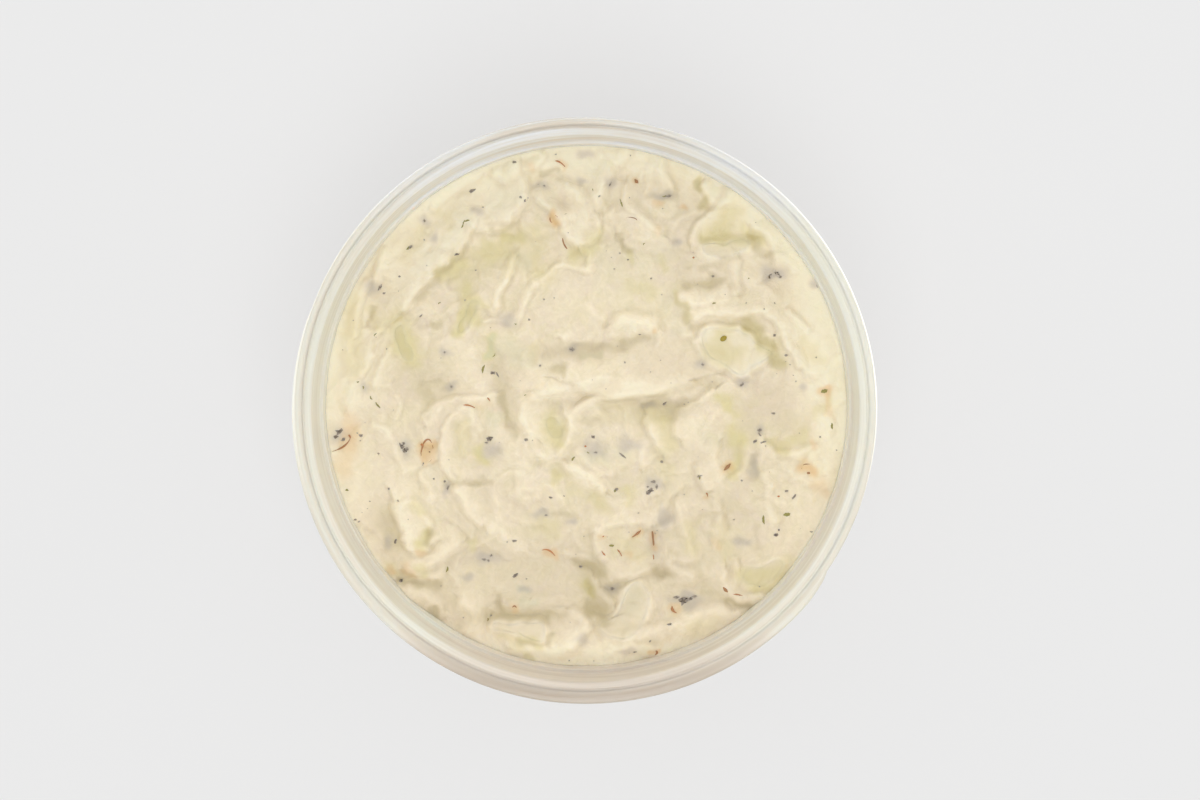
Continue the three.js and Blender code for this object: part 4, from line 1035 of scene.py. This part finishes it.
flat_x, flat_y, _ = yoghurt_points.T
dress(yoghurt, flat_x, flat_y, np.arange(len(flat_x)) < size * size, 0)

# What was painted, how strongly it colours the yoghurt, and its colour. The first is painted light, and
# the pools and olive also carry painted shade
STAINS = [
    ("butter", 0.45, 254, 244, 217),
    ("pool", 0.42, 208, 192, 164),
    ("green", 0.8, 223, 212, 156),
    ("mint", 0.6, 216, 214, 184),
    ("olive", 0.6, 190, 175, 132),
    ("grey", 0.45, 178, 170, 164),
    ("oil", 0.6, 228, 182, 110),
]
cream, shade = material("yoghurt")


def painted(name):
    """The number that paint stored under that name."""
    return shade.node("ShaderNodeAttribute", {"attribute_name": name}, out=2)


mottle = shade.node("ShaderNodeTexNoise", None, {"Scale": 130.0, "Detail": 4.0, "Roughness": 0.6})
veil = shade.node("ShaderNodeTexNoise", None, {
    "Scale": 16.0, "Detail": 4.0, "Roughness": 0.6, "Distortion": 1.2,
})
streak = shade.node("ShaderNodeTexNoise", None, {"Scale": 34.0, "Detail": 3.0, "Distortion": 2.0})
curd = shade.node("ShaderNodeTexNoise", None, {"Scale": 700.0, "Detail": 3.0})
pleats = []
for fineness, crisp in ((26.0, 16.0), (52.0, 10.0)):
    swirl = shade.node("ShaderNodeTexNoise", None, {"Scale": fineness, "Detail": 1.0, "Distortion": 1.4})
    pleats.append((1 - crisp * shade.maths("ABSOLUTE", swirl - 0.5)).clamped())
pleat = 0.6 * pleats[0] + 0.4 * pleats[1]
# The crest paint brings painted light on folds and by the wall and painted shade in creases
body = (painted("crest") + 0.4 * (mottle - 0.5) + 0.9 * (streak - 0.5) + 0.22 * pleat - 0.03).clamped()
thin = (3.0 * veil - 1.2).clamped().blend(colour(229, 217, 184), colour(232, 217, 196))
body = body.blend(thin, colour(252, 239, 213))
for name, strength, *tint in STAINS:
    body = (painted(name) * strength).blend(body, colour(*tint))
grain = curd + mottle + 1.4 * pleat
surfaced(yoghurt, cream, shade, {
    "Base Color": body,
    "Roughness": 0.42 + 0.2 * mottle,
    "IOR": 1.37,
    "Specular IOR Level": 0.4,
    "Subsurface Weight": 0.5,
    "Subsurface Radius": (1.0, 0.9, 0.65),
    "Subsurface Scale": 0.0006,
    "Normal": shade.node("ShaderNodeBump", None, {"Strength": 0.35, "Distance": 0.00014, "Height": grain}),
})


# Cucumber. Grated and drained shreds that break the surface: pale green flesh under the same coat
# of yoghurt as lies round it. Each is a cap of rings from its middle out, which stands a skin's
# height over the folds, thins out towards its edge and dips under them there.
FLESH = 0.12
CAP_RINGS = 22
RIM_SHARES, RIM_DROPS = [0.97, 0.9], [0.6, 1.6]
EDGE_WIDTH, EDGE_DEPTH = 1.4, 0.22
flesh = cream.copy()
flesh.name = "cucumber_flesh"

for node, (stand, corners) in CUCUMBERS.items():
    outline = closed_curve(corners)
    middle = outline.mean(0)
    shares = np.concatenate([np.linspace(0.06, 1, CAP_RINGS), RIM_SHARES])
    drops = np.concatenate([np.zeros(CAP_RINGS), RIM_DROPS])
    spread = np.hypot(*(outline - middle).T)
    skin = 0.07 + 0.26 * max(0, stand - 0.6)
    rings = []
    bared = []
    for share, drop in zip(shares, drops):
        ring = middle + (outline - middle) * share
        x, y = ring.T
        from_edge = np.clip((1 - share) * spread / EDGE_WIDTH, 0, 1)
        bare = skin - (skin + EDGE_DEPTH) * (1 - from_edge) ** 2 + 0.02 * np.sin(1.3 * x + 0.9 * y + 1)
        rings.append(np.stack([x, y, relief(x, y) + bare - drop], -1))
        bared.append(FLESH * np.clip(1.6 * from_edge - 0.6, 0, 1))
    count = len(outline)
    faces = [(a, d, c, b) for a, b, c, d in banded(len(shares), count)]
    total = count * len(shares)
    top = np.array([[*middle, rings[0][:, 2].mean()]])
    faces += [(total, i, (i + 1) % count) for i in range(count)]
    shred_points = np.vstack([*rings, top])
    shred = build(node + "_shred", shred_points, faces)
    dress(shred, shred_points[:, 0], shred_points[:, 1], True, np.concatenate([*bared, [FLESH]]))
    shred.data.materials.append(flesh)
    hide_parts(node)


# The seed. One cucumber seed that the grater left on the biggest shred, dark olive and wet.
SEED = (27.9, 14.1)
SEED_SIZE = (1.5, 1.05, 0.8)
SEED_TURN = 35
SEED_SIDES, SEED_RINGS = 20, 12


def rotated(flat, degrees):
    """Places (x, y) rotated round the origin."""
    c, s = math.cos(math.radians(degrees)), math.sin(math.radians(degrees))
    return flat @ np.array([[c, s], [-s, c]])


turns = np.linspace(0, FULL_TURN, SEED_SIDES, endpoint=False)
pointed = 1 - 0.25 * np.maximum(0, np.cos(turns)) ** 3
seed_points = []
for rise in np.linspace(-0.96, 0.96, SEED_RINGS):
    girth = math.sqrt(1 - rise * rise)
    ring = [girth * np.cos(turns), girth * pointed * np.sin(turns), 0 * turns + rise]
    seed_points.append(np.stack(ring, -1))
seed_points = np.vstack([*seed_points, [[0, 0, -1], [0, 0, 1]]]) * np.array(SEED_SIZE) / 2
seed_points[:, :2] = rotated(seed_points[:, :2], SEED_TURN)
seed_faces = banded(SEED_RINGS, SEED_SIDES)
low_end = SEED_RINGS * SEED_SIDES
high_end = low_end + 1
last_ring = low_end - SEED_SIDES
seed_faces += [(low_end, (k + 1) % SEED_SIDES, k) for k in range(SEED_SIDES)]
seed_faces += [(high_end, last_ring + k, last_ring + (k + 1) % SEED_SIDES) for k in range(SEED_SIDES)]
perch = relief(np.array([SEED[0]]), np.array([SEED[1]]))[0] + 0.3
seed = build("cucumber_seed", seed_points + [*SEED, perch], seed_faces)
kernel, shade = material("cucumber_seed")
stripe = shade.node("ShaderNodeTexNoise", None, {"Scale": 900.0, "Detail": 2.0})
surfaced(seed, kernel, shade, {
    "Base Color": (stripe * 2.2 - 0.6).clamped().blend(colour(112, 92, 4), colour(196, 176, 66)),
    "Roughness": 0.3 + 0.2 * stripe,
})


# Pepper. Black corns cracked coarse, so every bit is a flat angular flake. Most have sunk into the
# yoghurt by half and show grey through it: x, y, length, width, turn in degrees, how dark.
PEPPER = [
    (-23.1, 43.9, 1.1, 0.7, 30, 0.7), (-12.5, 42.0, 0.8, 0.6, 0, 0.7), (-13.2, 42.6, 0.6, 0.4, 0, 0.3),
    (-11.8, 42.4, 0.6, 0.4, 50, 0.4), (-8.5, 45.0, 0.4, 0.3, 0, 0.5), (-14.3, 49.7, 1.1, 0.5, -10, 0.5),
    (-35.8, 32.5, 0.9, 0.6, 30, 0.5), (-32.6, 34.0, 0.6, 0.4, 0, 0.3), (-26.2, 31.2, 0.9, 0.6, 10, 1.0),
    (-25.0, 31.5, 0.6, 0.5, 0, 0.8), (-37.9, 26.6, 0.4, 0.4, 0, 0.6), (-41.8, 24.4, 1.1, 0.5, 50, 0.4),
    (-41.0, 23.2, 0.8, 0.5, 0, 0.5), (-22.4, 27.8, 0.4, 0.3, 0, 0.5), (-33.6, 18.8, 0.9, 0.4, 60, 0.6),
    (-20.9, 40.5, 0.6, 0.4, 0, 0.4), (4.9, 45.4, 0.9, 0.5, 70, 0.6), (2.7, 42.9, 0.5, 0.4, 0, 0.5),
    (16.9, 42.9, 1.2, 0.7, 0, 0.3), (13.2, 26.2, 0.4, 0.4, 0, 0.6), (25.7, 26.7, 0.5, 0.4, 0, 0.6),
    (37.2, 26.9, 1.6, 1.0, 20, 0.1), (38.6, 27.3, 1.4, 0.9, -40, 0.12), (39.4, 26.5, 0.6, 0.4, 30, 0.35),
    (47.0, 24.4, 1.1, 0.6, -30, 0.4), (32.5, 21.2, 0.4, 0.4, 0, 0.5), (38.2, 21.2, 0.3, 0.3, 0, 0.5),
    (38.3, 14.7, 0.6, 0.4, 0, 0.6), (40.6, 10.6, 0.7, 0.4, 20, 0.4), (23.6, 8.8, 0.9, 0.5, -30, 0.4),
    (31.6, 4.6, 0.9, 0.5, 40, 0.5), (32.2, 5.4, 0.6, 0.4, 0, 0.3), (20.1, 0.6, 0.5, 0.4, 0, 0.6),
    (20.9, 1.0, 0.4, 0.3, 0, 0.5), (15.8, 0.6, 1.2, 0.4, 40, 0.5), (38.1, -1.2, 0.6, 0.4, 0, 0.4),
    (35.3, -4.6, 0.7, 0.5, 0, 0.6), (34.3, -6.9, 0.8, 0.5, 30, 0.7), (35.6, -5.8, 1.2, 0.3, -50, 0.6),
    (36.0, -7.0, 0.9, 0.3, 20, 0.5), (47.6, -5.9, 0.4, 0.3, 0, 0.5), (50.9, -8.6, 0.3, 0.3, 0, 0.6),
    (1.5, -6.0, 0.7, 0.6, 0, 0.7), (-12.2, -6.5, 0.8, 0.5, 0, 0.4), (-19.7, -6.4, 1.1, 0.6, 20, 0.9),
    (-20.3, -7.2, 0.5, 0.3, 0, 0.6), (7.5, -9.8, 1.4, 0.3, -40, 0.5), (15.4, -11.0, 0.5, 0.4, 0, 0.4),
    (13.1, -17.1, 1.4, 0.9, 40, 0.8), (13.9, -15.2, 0.9, 0.5, 0, 0.5), (14.4, -16.2, 0.9, 0.6, 60, 0.5),
    (12.6, -16.2, 0.5, 0.4, 0, 0.5), (6.1, -16.8, 1.0, 0.6, 40, 0.6), (-7.3, -18.4, 0.9, 0.4, -10, 0.6),
    (-18.9, 7.0, 0.9, 0.6, 0, 0.8), (-18.0, 6.7, 0.9, 0.3, -60, 0.6), (-9.3, 8.5, 0.5, 0.4, 0, 0.4),
    (-2.8, 11.8, 0.9, 0.6, 0, 0.4), (7.9, 9.2, 0.3, 0.3, 0, 0.4), (10.9, 15.0, 0.6, 0.4, 0, 0.8),
    (-28.8, -15.1, 0.7, 0.4, 60, 0.5), (-28.2, -16.6, 0.9, 0.4, 70, 0.5), (-40.2, -16.6, 0.4, 0.4, 0, 0.5),
    (-38.2, -19.0, 0.4, 0.4, 0, 0.5), (-47.2, -23.0, 0.6, 0.4, 0, 0.6), (-46.4, -23.4, 0.6, 0.3, 0, 0.4),
    (-38.9, -27.4, 0.8, 0.5, 70, 0.9), (-37.7, -35.6, 0.9, 0.6, -20, 0.9), (-19.9, -31.4, 0.4, 0.4, 0, 0.4),
    (-14.6, -27.2, 0.7, 0.4, 0, 0.5), (-14.5, -34.4, 0.9, 0.6, 30, 0.8), (-19.4, -42.8, 0.5, 0.4, 0, 0.6),
    (-8.2, -22.0, 0.7, 0.4, 0, 0.5), (-1.7, -41.9, 0.4, 0.4, 0, 0.5), (-1.2, -32.6, 0.9, 0.5, 0, 0.5),
    (13.0, -47.6, 0.6, 0.4, 0, 0.5), (10.0, -49.9, 0.7, 0.5, 0, 0.6), (8.8, -50.2, 0.6, 0.4, 0, 0.4),
    (17.2, -44.2, 0.9, 0.5, 0, 0.6), (19.9, -39.5, 1.5, 1.3, 30, 1.0), (18.5, -38.8, 0.9, 0.5, 0, 0.6),
    (21.3, -39.1, 1.2, 0.6, 20, 0.7), (38.7, -26.0, 0.8, 0.6, 40, 1.0), (39.3, -25.0, 0.5, 0.4, 0, 0.7),
    (45.9, -25.3, 0.5, 0.4, 0, 0.4), (42.5, -18.0, 1.4, 0.4, 50, 0.6), (31.7, -14.8, 0.5, 0.3, 0, 0.5),
    (-45.9, -5.8, 0.8, 0.5, 0, 0.4), (-37.8, -8.0, 1.2, 0.9, -40, 0.9), (-36.8, -8.8, 1.1, 0.8, 20, 0.8),
    (-37.2, -7.4, 0.7, 0.5, 0, 0.6), (-50.3, -5.0, 1.5, 1.0, 20, 0.9), (-51.2, -6.0, 0.9, 0.7, 0, 0.8),
    (-49.6, -6.6, 1.0, 0.5, 60, 0.6), (-42.3, -9.5, 0.4, 0.4, 0, 0.4), (-11.6, 17.8, 0.4, 0.4, 0, 0.4),
    (23.1, -14.0, 0.9, 0.4, 20, 0.5), (-9.4, 45.2, 0.7, 0.4, 0, 0.3), (-32.8, 38.0, 0.6, 0.4, 0, 0.3),
    (-24.4, 21.8, 0.5, 0.4, 0, 0.3), (-27.4, 4.2, 0.5, 0.4, 0, 0.3), (-28.8, 11.2, 0.4, 0.4, 0, 0.3),
    (-20.8, -31.2, 0.9, 0.5, 0, 0.4), (-19.4, -30.4, 0.8, 0.5, 30, 0.3), (5.4, -37.2, 1.0, 0.6, 0, 0.6),
    (22.2, -38.6, 0.8, 0.5, 0, 0.3), (40.8, -17.0, 0.6, 0.4, 0, 0.4), (20.0, -17.8, 0.5, 0.3, 0, 0.4),
    (2.0, -9.2, 0.6, 0.4, 0, 0.5),
]
DUST = 90
# A flake's points lie towards the corners of a box and then out of its sides, and three faces meet
# at each corner
FLAKE_DIRECTIONS = [(x, y, z) for x in (1, -1) for y in (1, -1) for z in (1, -1)]
FLAKE_DIRECTIONS += [(1.5, 0, 0), (-1.5, 0, 0), (0, 1.5, 0), (0, -1.5, 0), (0, 0, 1.5), (0, 0, -1.5)]
FLAKE_POINTS = len(FLAKE_DIRECTIONS)
flake_faces = []
for corner in range(8):
    on_x, on_y, on_z = 8 + corner // 4, 10 + corner // 2 % 2, 12 + corner % 2
    flake_faces += [(on_x, corner, on_y), (on_x, corner, on_z), (corner, on_y, on_z)]


def cracked(x, y, length, width, turn):
    """Points of an angular flake that lies half sunk at a place, long side turned by so many degrees."""
    corners = np.array(FLAKE_DIRECTIONS) * chance.uniform(0.45, 1.3, (FLAKE_POINTS, 1)) / 1.7
    corners *= [length / 2 * 1.5, width / 2 * 1.5, min(width, 0.7) * 0.3]
    corners[:, :2] = rotated(corners[:, :2], turn)
    return corners + [x, y, 0.02]


def joined(parts):
    """Points and faces of one mesh that takes in the points and faces of each part."""
    points, faces = [], []
    for part_points, part_faces in parts:
        start = len(points)
        points.extend(part_points)
        faces += [tuple(start + c for c in face) for face in part_faces]
    return np.array(points), faces


bits = list(PEPPER)
for _ in range(DUST):
    away = (wall_radius(LEVEL) - 1) * math.sqrt(chance.random())
    round_by = chance.uniform(0, FULL_TURN)
    across = chance.uniform(0.16, 0.34)
    dark = chance.uniform(0.2, 0.6)
    bits.append((away * math.cos(round_by), away * math.sin(round_by), across, 0.8 * across, 0, dark))
bit_x, bit_y = np.array([bit[:2] for bit in bits], dtype=float).T
flakes = [cracked(*bit[:5]) + [0, 0, height] for bit, height in zip(bits, relief(bit_x, bit_y))]
pepper = build("cracked_pepper", *joined([(flake, flake_faces) for flake in flakes]))
paint(pepper, "dark", np.repeat([bit[5] for bit in bits], FLAKE_POINTS))
corn, shade = material("cracked_pepper")
husk = shade.node("ShaderNodeTexNoise", None, {"Scale": 2200.0, "Detail": 2.0})
charred = (painted("dark") * (0.45 + 0.6 * husk)).clamped()
surfaced(pepper, corn, shade, {
    "Base Color": charred.blend(colour(212, 200, 182), colour(124, 112, 102)),
    "Roughness": 0.5 + 0.3 * husk,
    "Specular IOR Level": 0.4,
})


# Chilli. Dried threads and little rings cut across thin pods, red brown, half coated with yoghurt.
# A thread goes from, through and to (x, y), and has its thickness and how red it is.
THREADS = [
    (-6.2, 50.0, -5.2, 49.7, -4.2, 48.8, 0.34, 0.9), (-4.7, 34.4, -4.5, 33.3, -3.8, 32.2, 0.34, 0.4),
    (9.9, 46.3, 10.2, 45.9, 10.6, 45.5, 0.6, 0.4), (-24.9, 0.5, -23.7, 0.4, -22.6, -0.1, 0.32, 0.9),
    (-20.1, 2.0, -19.8, 1.7, -19.5, 1.2, 0.3, 0.7), (-9.0, -29.2, -7.6, -29.2, -6.3, -30.4, 0.32, 1.0),
    (9.4, -26.5, 10.4, -25.8, 11.2, -25.1, 0.42, 0.5), (13.5, -25.3, 13.7, -26.8, 13.8, -28.2, 0.46, 0.3),
    (27.9, -13.0, 28.6, -12.4, 29.4, -11.5, 0.6, 0.3), (28.0, -36.6, 28.3, -37.0, 28.9, -37.6, 0.6, 0.4),
    (30.0, -38.0, 31.0, -38.1, 32.3, -38.4, 0.3, 0.7), (17.6, -40.6, 17.7, -41.4, 18.5, -42.0, 0.5, 0.6),
    (-51.8, -9.1, -49.4, -8.0, -48.1, -6.3, 0.34, 0.5), (6.4, -29.0, 6.9, -29.6, 7.3, -30.4, 0.3, 0.8),
    (3.2, -29.2, 3.6, -29.8, 4.0, -30.2, 0.3, 0.8), (13.7, -30.0, 13.8, -30.6, 13.8, -31.0, 0.26, 0.7),
    (-48.1, -6.4, -48.2, -6.0, -48.5, -5.7, 0.4, 0.7), (24.4, -17.4, 24.7, -17.7, 24.8, -18.2, 0.3, 0.6),
]
# A ring has its middle, half length, half width, thickness, where it is thickest, in degrees, how red it is
RINGS = [
    (-32.35, -9.0, 1.3, 2.2, 0.5, 125, 0.5), (-6.5, 38.3, 0.8, 0.7, 0.34, 200, 0.7),
    (9.2, 37.6, 1.3, 1.1, 0.34, 60, 0.3), (45.1, -12.4, 1.1, 1.1, 0.34, 150, 0.3),
    (-14.6, -41.2, 0.5, 0.5, 0.34, 90, 0.4), (-20.5, -43.6, 0.45, 0.4, 0.3, 0, 0.3),
    (13.9, -50.2, 0.6, 0.5, 0.5, 0, 0.6),
]
# Dabs are crumbs of the same pods: x, y, size, how red
DABS = [
    (-33.4, -7.7, 0.75, 0.9), (-31.9, -9.2, 0.35, 0.1), (45.25, -13.3, 0.6, 0.4), (-0.1, -8.0, 0.42, 1.0),
    (39.2, -18.1, 0.45, 1.0), (3.5, -26.3, 0.4, 1.0), (21.8, 30.4, 0.4, 0.8), (-42.4, -9.5, 0.35, 0.6),
]
TUBE_SIDES = 8


def tube(path, thickness, closed):
    """Points and faces of a wobbly tube along path, with pointed ends unless it is closed."""
    count = len(path)
    ahead = np.roll(path, -1, 0) if closed else path[np.minimum(np.arange(count) + 1, count - 1)]
    back = np.roll(path, 1, 0) if closed else path[np.maximum(np.arange(count) - 1, 0)]
    along = ahead - back
    along /= np.linalg.norm(along, axis=1)[:, None]
    aside = np.cross(along, [0, 0, 1])
    over = np.cross(aside, along)
    share = np.linspace(0, 1, count)
    radius = thickness / 2 * (np.ones(count) if closed else 1 + 0.25 * np.sin(7 * share + path[0, 0]))
    if not closed:
        radius *= np.clip(np.sin(math.pi * share), 0.12, 1) ** 0.5
    angles = np.arange(TUBE_SIDES) * FULL_TURN / TUBE_SIDES
    rings = path[:, None] + radius[:, None, None] * (
        np.cos(angles)[:, None] * aside[:, None] + 0.7 * np.sin(angles)[:, None] * over[:, None]
    )
    faces = banded(count, TUBE_SIDES, closed)
    if not closed:
        faces.append(tuple(range(TUBE_SIDES)))
        faces.append(tuple((count - 1) * TUBE_SIDES + i for i in reversed(range(TUBE_SIDES))))
    return rings.reshape(-1, 3), faces


def lying(flat, rise):
    """Places (x, y) laid on the yoghurt, rise above it."""
    x, y = np.asarray(flat, dtype=float).T
    return np.stack([x, y, relief(x, y) + rise], -1)


strands = [(lying(bow(*thread[:6]), thread[6] * 0.12), thread[6], thread[7], False) for thread in THREADS]
for x, y, half_length, half_width, thickness, thickest, red in RINGS:
    angles = np.arange(28) * math.pi / 14
    wobble = 1 + 0.07 * np.sin(2 * angles + x) + 0.06 * np.sin(3 * angles + y)
    ring_x = x + half_length * wobble * np.cos(angles)
    ring = np.stack([ring_x, y + half_width * wobble * np.sin(angles)], -1)
    swell = 0.3 + 0.7 * (0.5 + 0.5 * np.cos(angles - math.radians(thickest))) ** 3
    strands.append((lying(ring, -0.05), thickness * swell, red, True))
for x, y, across, red in DABS:
    crumb = bow(x - across / 2, y, x, y + 0.05, x + across / 2, y, 4)
    strands.append((lying(crumb, 0), across, red, False))
tubes = [tube(path, thickness, closed) for path, thickness, _, closed in strands]
chilli = build("chilli_threads", *joined(tubes))
redness = [np.full(len(made[0]), strand[2]) for made, strand in zip(tubes, strands)]
paint(chilli, "red", np.concatenate(redness))
pod, shade = material("dried_chilli")
skin = shade.node("ShaderNodeTexNoise", None, {"Scale": 900.0, "Detail": 2.0})
husked = painted("red").blend(colour(112, 78, 50), colour(184, 106, 60))
coated = painted("red").blend(colour(200, 170, 124), colour(222, 176, 120))
surfaced(chilli, pod, shade, {
    "Base Color": (skin * 1.6 - 0.5).clamped().blend(husked, coated),
    "Roughness": 0.35 + 0.2 * skin,
    "Specular IOR Level": 0.5,
})


# Herbs. Rubbed dill and mint, down to crumbs of dark green leaf, wet with whey.
# Middle (x, y), length, width, turn in degrees.
HERBS = [
    (1.4, 44.2, 1.0, 0.4, 80), (7.2, 41.5, 2.0, 0.7, 115), (-45.4, 4.0, 0.7, 0.4, 120),
    (-42.4, 0.4, 1.7, 0.5, 122), (-43.8, 1.9, 0.9, 0.4, 125), (-46.4, 5.2, 0.6, 0.4, 0),
    (-20.9, 7.8, 1.9, 0.6, 75), (-2.6, -10.5, 1.3, 0.5, 65), (0.4, -9.2, 0.6, 0.3, 0),
    (5.2, -28.2, 1.1, 0.7, 20), (36.2, -22.8, 2.2, 0.7, 100), (40.9, -21.8, 1.6, 1.1, 20),
    (48.4, 3.4, 1.5, 1.1, 30), (50.0, -3.7, 1.4, 0.6, 105), (-28.4, -33.2, 1.4, 0.5, 75),
    (-14.3, 17.0, 0.5, 0.3, 0), (-24.8, 37.2, 2.0, 0.5, 60), (-24.0, 37.9, 1.2, 0.5, 0),
    (6.1, -16.8, 1.2, 0.6, 60), (-35.9, 32.4, 1.3, 0.6, 25), (-12.2, 2.5, 1.0, 0.4, 30),
    (33.0, 26.2, 0.4, 0.3, 0), (-42.8, 14.8, 1.0, 0.3, 60), (11.8, 33.2, 0.6, 0.3, 60),
    (-29.8, 21.2, 0.7, 0.3, 50), (-20.0, -43.6, 0.8, 0.4, 50), (-18.7, 10.6, 1.0, 0.25, 60),
    (-48.8, -17.0, 0.7, 0.6, 0), (15.9, 42.9, 1.2, 0.3, 10), (26.0, 21.2, 0.8, 0.4, 30),
    (-4.0, 39.2, 1.0, 0.3, 10), (23.0, -14.2, 1.2, 0.5, 110),
]
# A leaf is a curled net, this many points long and wide
LEAF_LONG, LEAF_WIDE = 9, 5
row_starts = range(0, (LEAF_LONG - 1) * LEAF_WIDE, LEAF_WIDE)
first_corners = [start + step for start in row_starts for step in range(LEAF_WIDE - 1)]
leaf_faces = [(c, c + LEAF_WIDE, c + LEAF_WIDE + 1, c + 1) for c in first_corners]
leaves = []
for x, y, length, width, turn in HERBS:
    grid = []
    for u in np.linspace(-1, 1, LEAF_LONG):
        for v in np.linspace(-1, 1, LEAF_WIDE):
            half = width / 2 * math.sqrt(max(0.02, 1 - u * u)) * (1 + 0.2 * math.sin(9 * u + x))
            curl = 0.14 - 0.22 * v * v - 0.12 * u * u
            grid.append((u * length / 2, v * half + 0.1 * math.sin(2.4 * u + y), curl))
    grid = np.array(grid)
    leaves.append((lying(rotated(grid[:, :2], turn) + [x, y], grid[:, 2]), leaf_faces))
herbs = build("herb_crumbs", *joined(leaves))
leaf, shade = material("rubbed_herb")
vein = shade.node("ShaderNodeTexNoise", None, {"Scale": 1300.0, "Detail": 2.0})
surfaced(herbs, leaf, shade, {
    "Base Color": vein.blend(colour(112, 108, 48), colour(176, 168, 96)),
    "Roughness": 0.45 + 0.2 * vein,
})


# The stage: a pale plain floor that glows a little like a light table, a broad soft light high on
# the near side, three low strips that draw the rim's edges, and a pale room all round.
ROOM = 0.63
FLOOR_GLOW = 0.52
KEY_POWER = 6.4
STRIP_POWER = 1.4
FAR_POWER = 3.0
floor_mesh = bpy.data.meshes.new("floor")
floor_mesh.from_pydata([(-3, -3, 0), (3, -3, 0), (3, 3, 0), (-3, 3, 0)], [], [(0, 1, 2, 3)])
floor = bpy.data.objects.new("floor", floor_mesh)
bpy.context.collection.objects.link(floor)
pale, shade = material("pale_floor")
surfaced(floor, pale, shade, {
    "Base Color": colour(150, 150, 150),
    "Roughness": 0.9,
    "Specular IOR Level": 0.2,
    "Emission Color": (1, 1, 1, 1),
    "Emission Strength": FLOOR_GLOW,
})


def soft_light(name, place, width, height, power):
    """A soft light of a width and height that faces the tub."""
    lamp = bpy.data.lights.new(name, "AREA")
    lamp.shape = "RECTANGLE"
    lamp.size = width
    lamp.size_y = height
    lamp.energy = power
    holder = bpy.data.objects.new(name, lamp)
    holder.location = place
    holder.rotation_euler = (-Vector(place)).to_track_quat("-Z", "Y").to_euler()
    bpy.context.collection.objects.link(holder)


soft_light("key", (0.08, -0.48, 1.28), 0.9, 0.9, KEY_POWER)
soft_light("strip_left", (-1.0, 0.62, 0.42), 1.1, 0.08, STRIP_POWER)
soft_light("strip_right", (1.1, 0.4, 0.42), 1.1, 0.08, STRIP_POWER)
soft_light("strip_far", (0.0, 1.25, 0.42), 1.4, 0.14, FAR_POWER)
room = bpy.data.worlds.new("room")
room.use_nodes = True
room.node_tree.nodes["Background"].inputs["Color"].default_value = (1, 1, 1, 1)
room.node_tree.nodes["Background"].inputs["Strength"].default_value = ROOM
bpy.context.scene.world = room
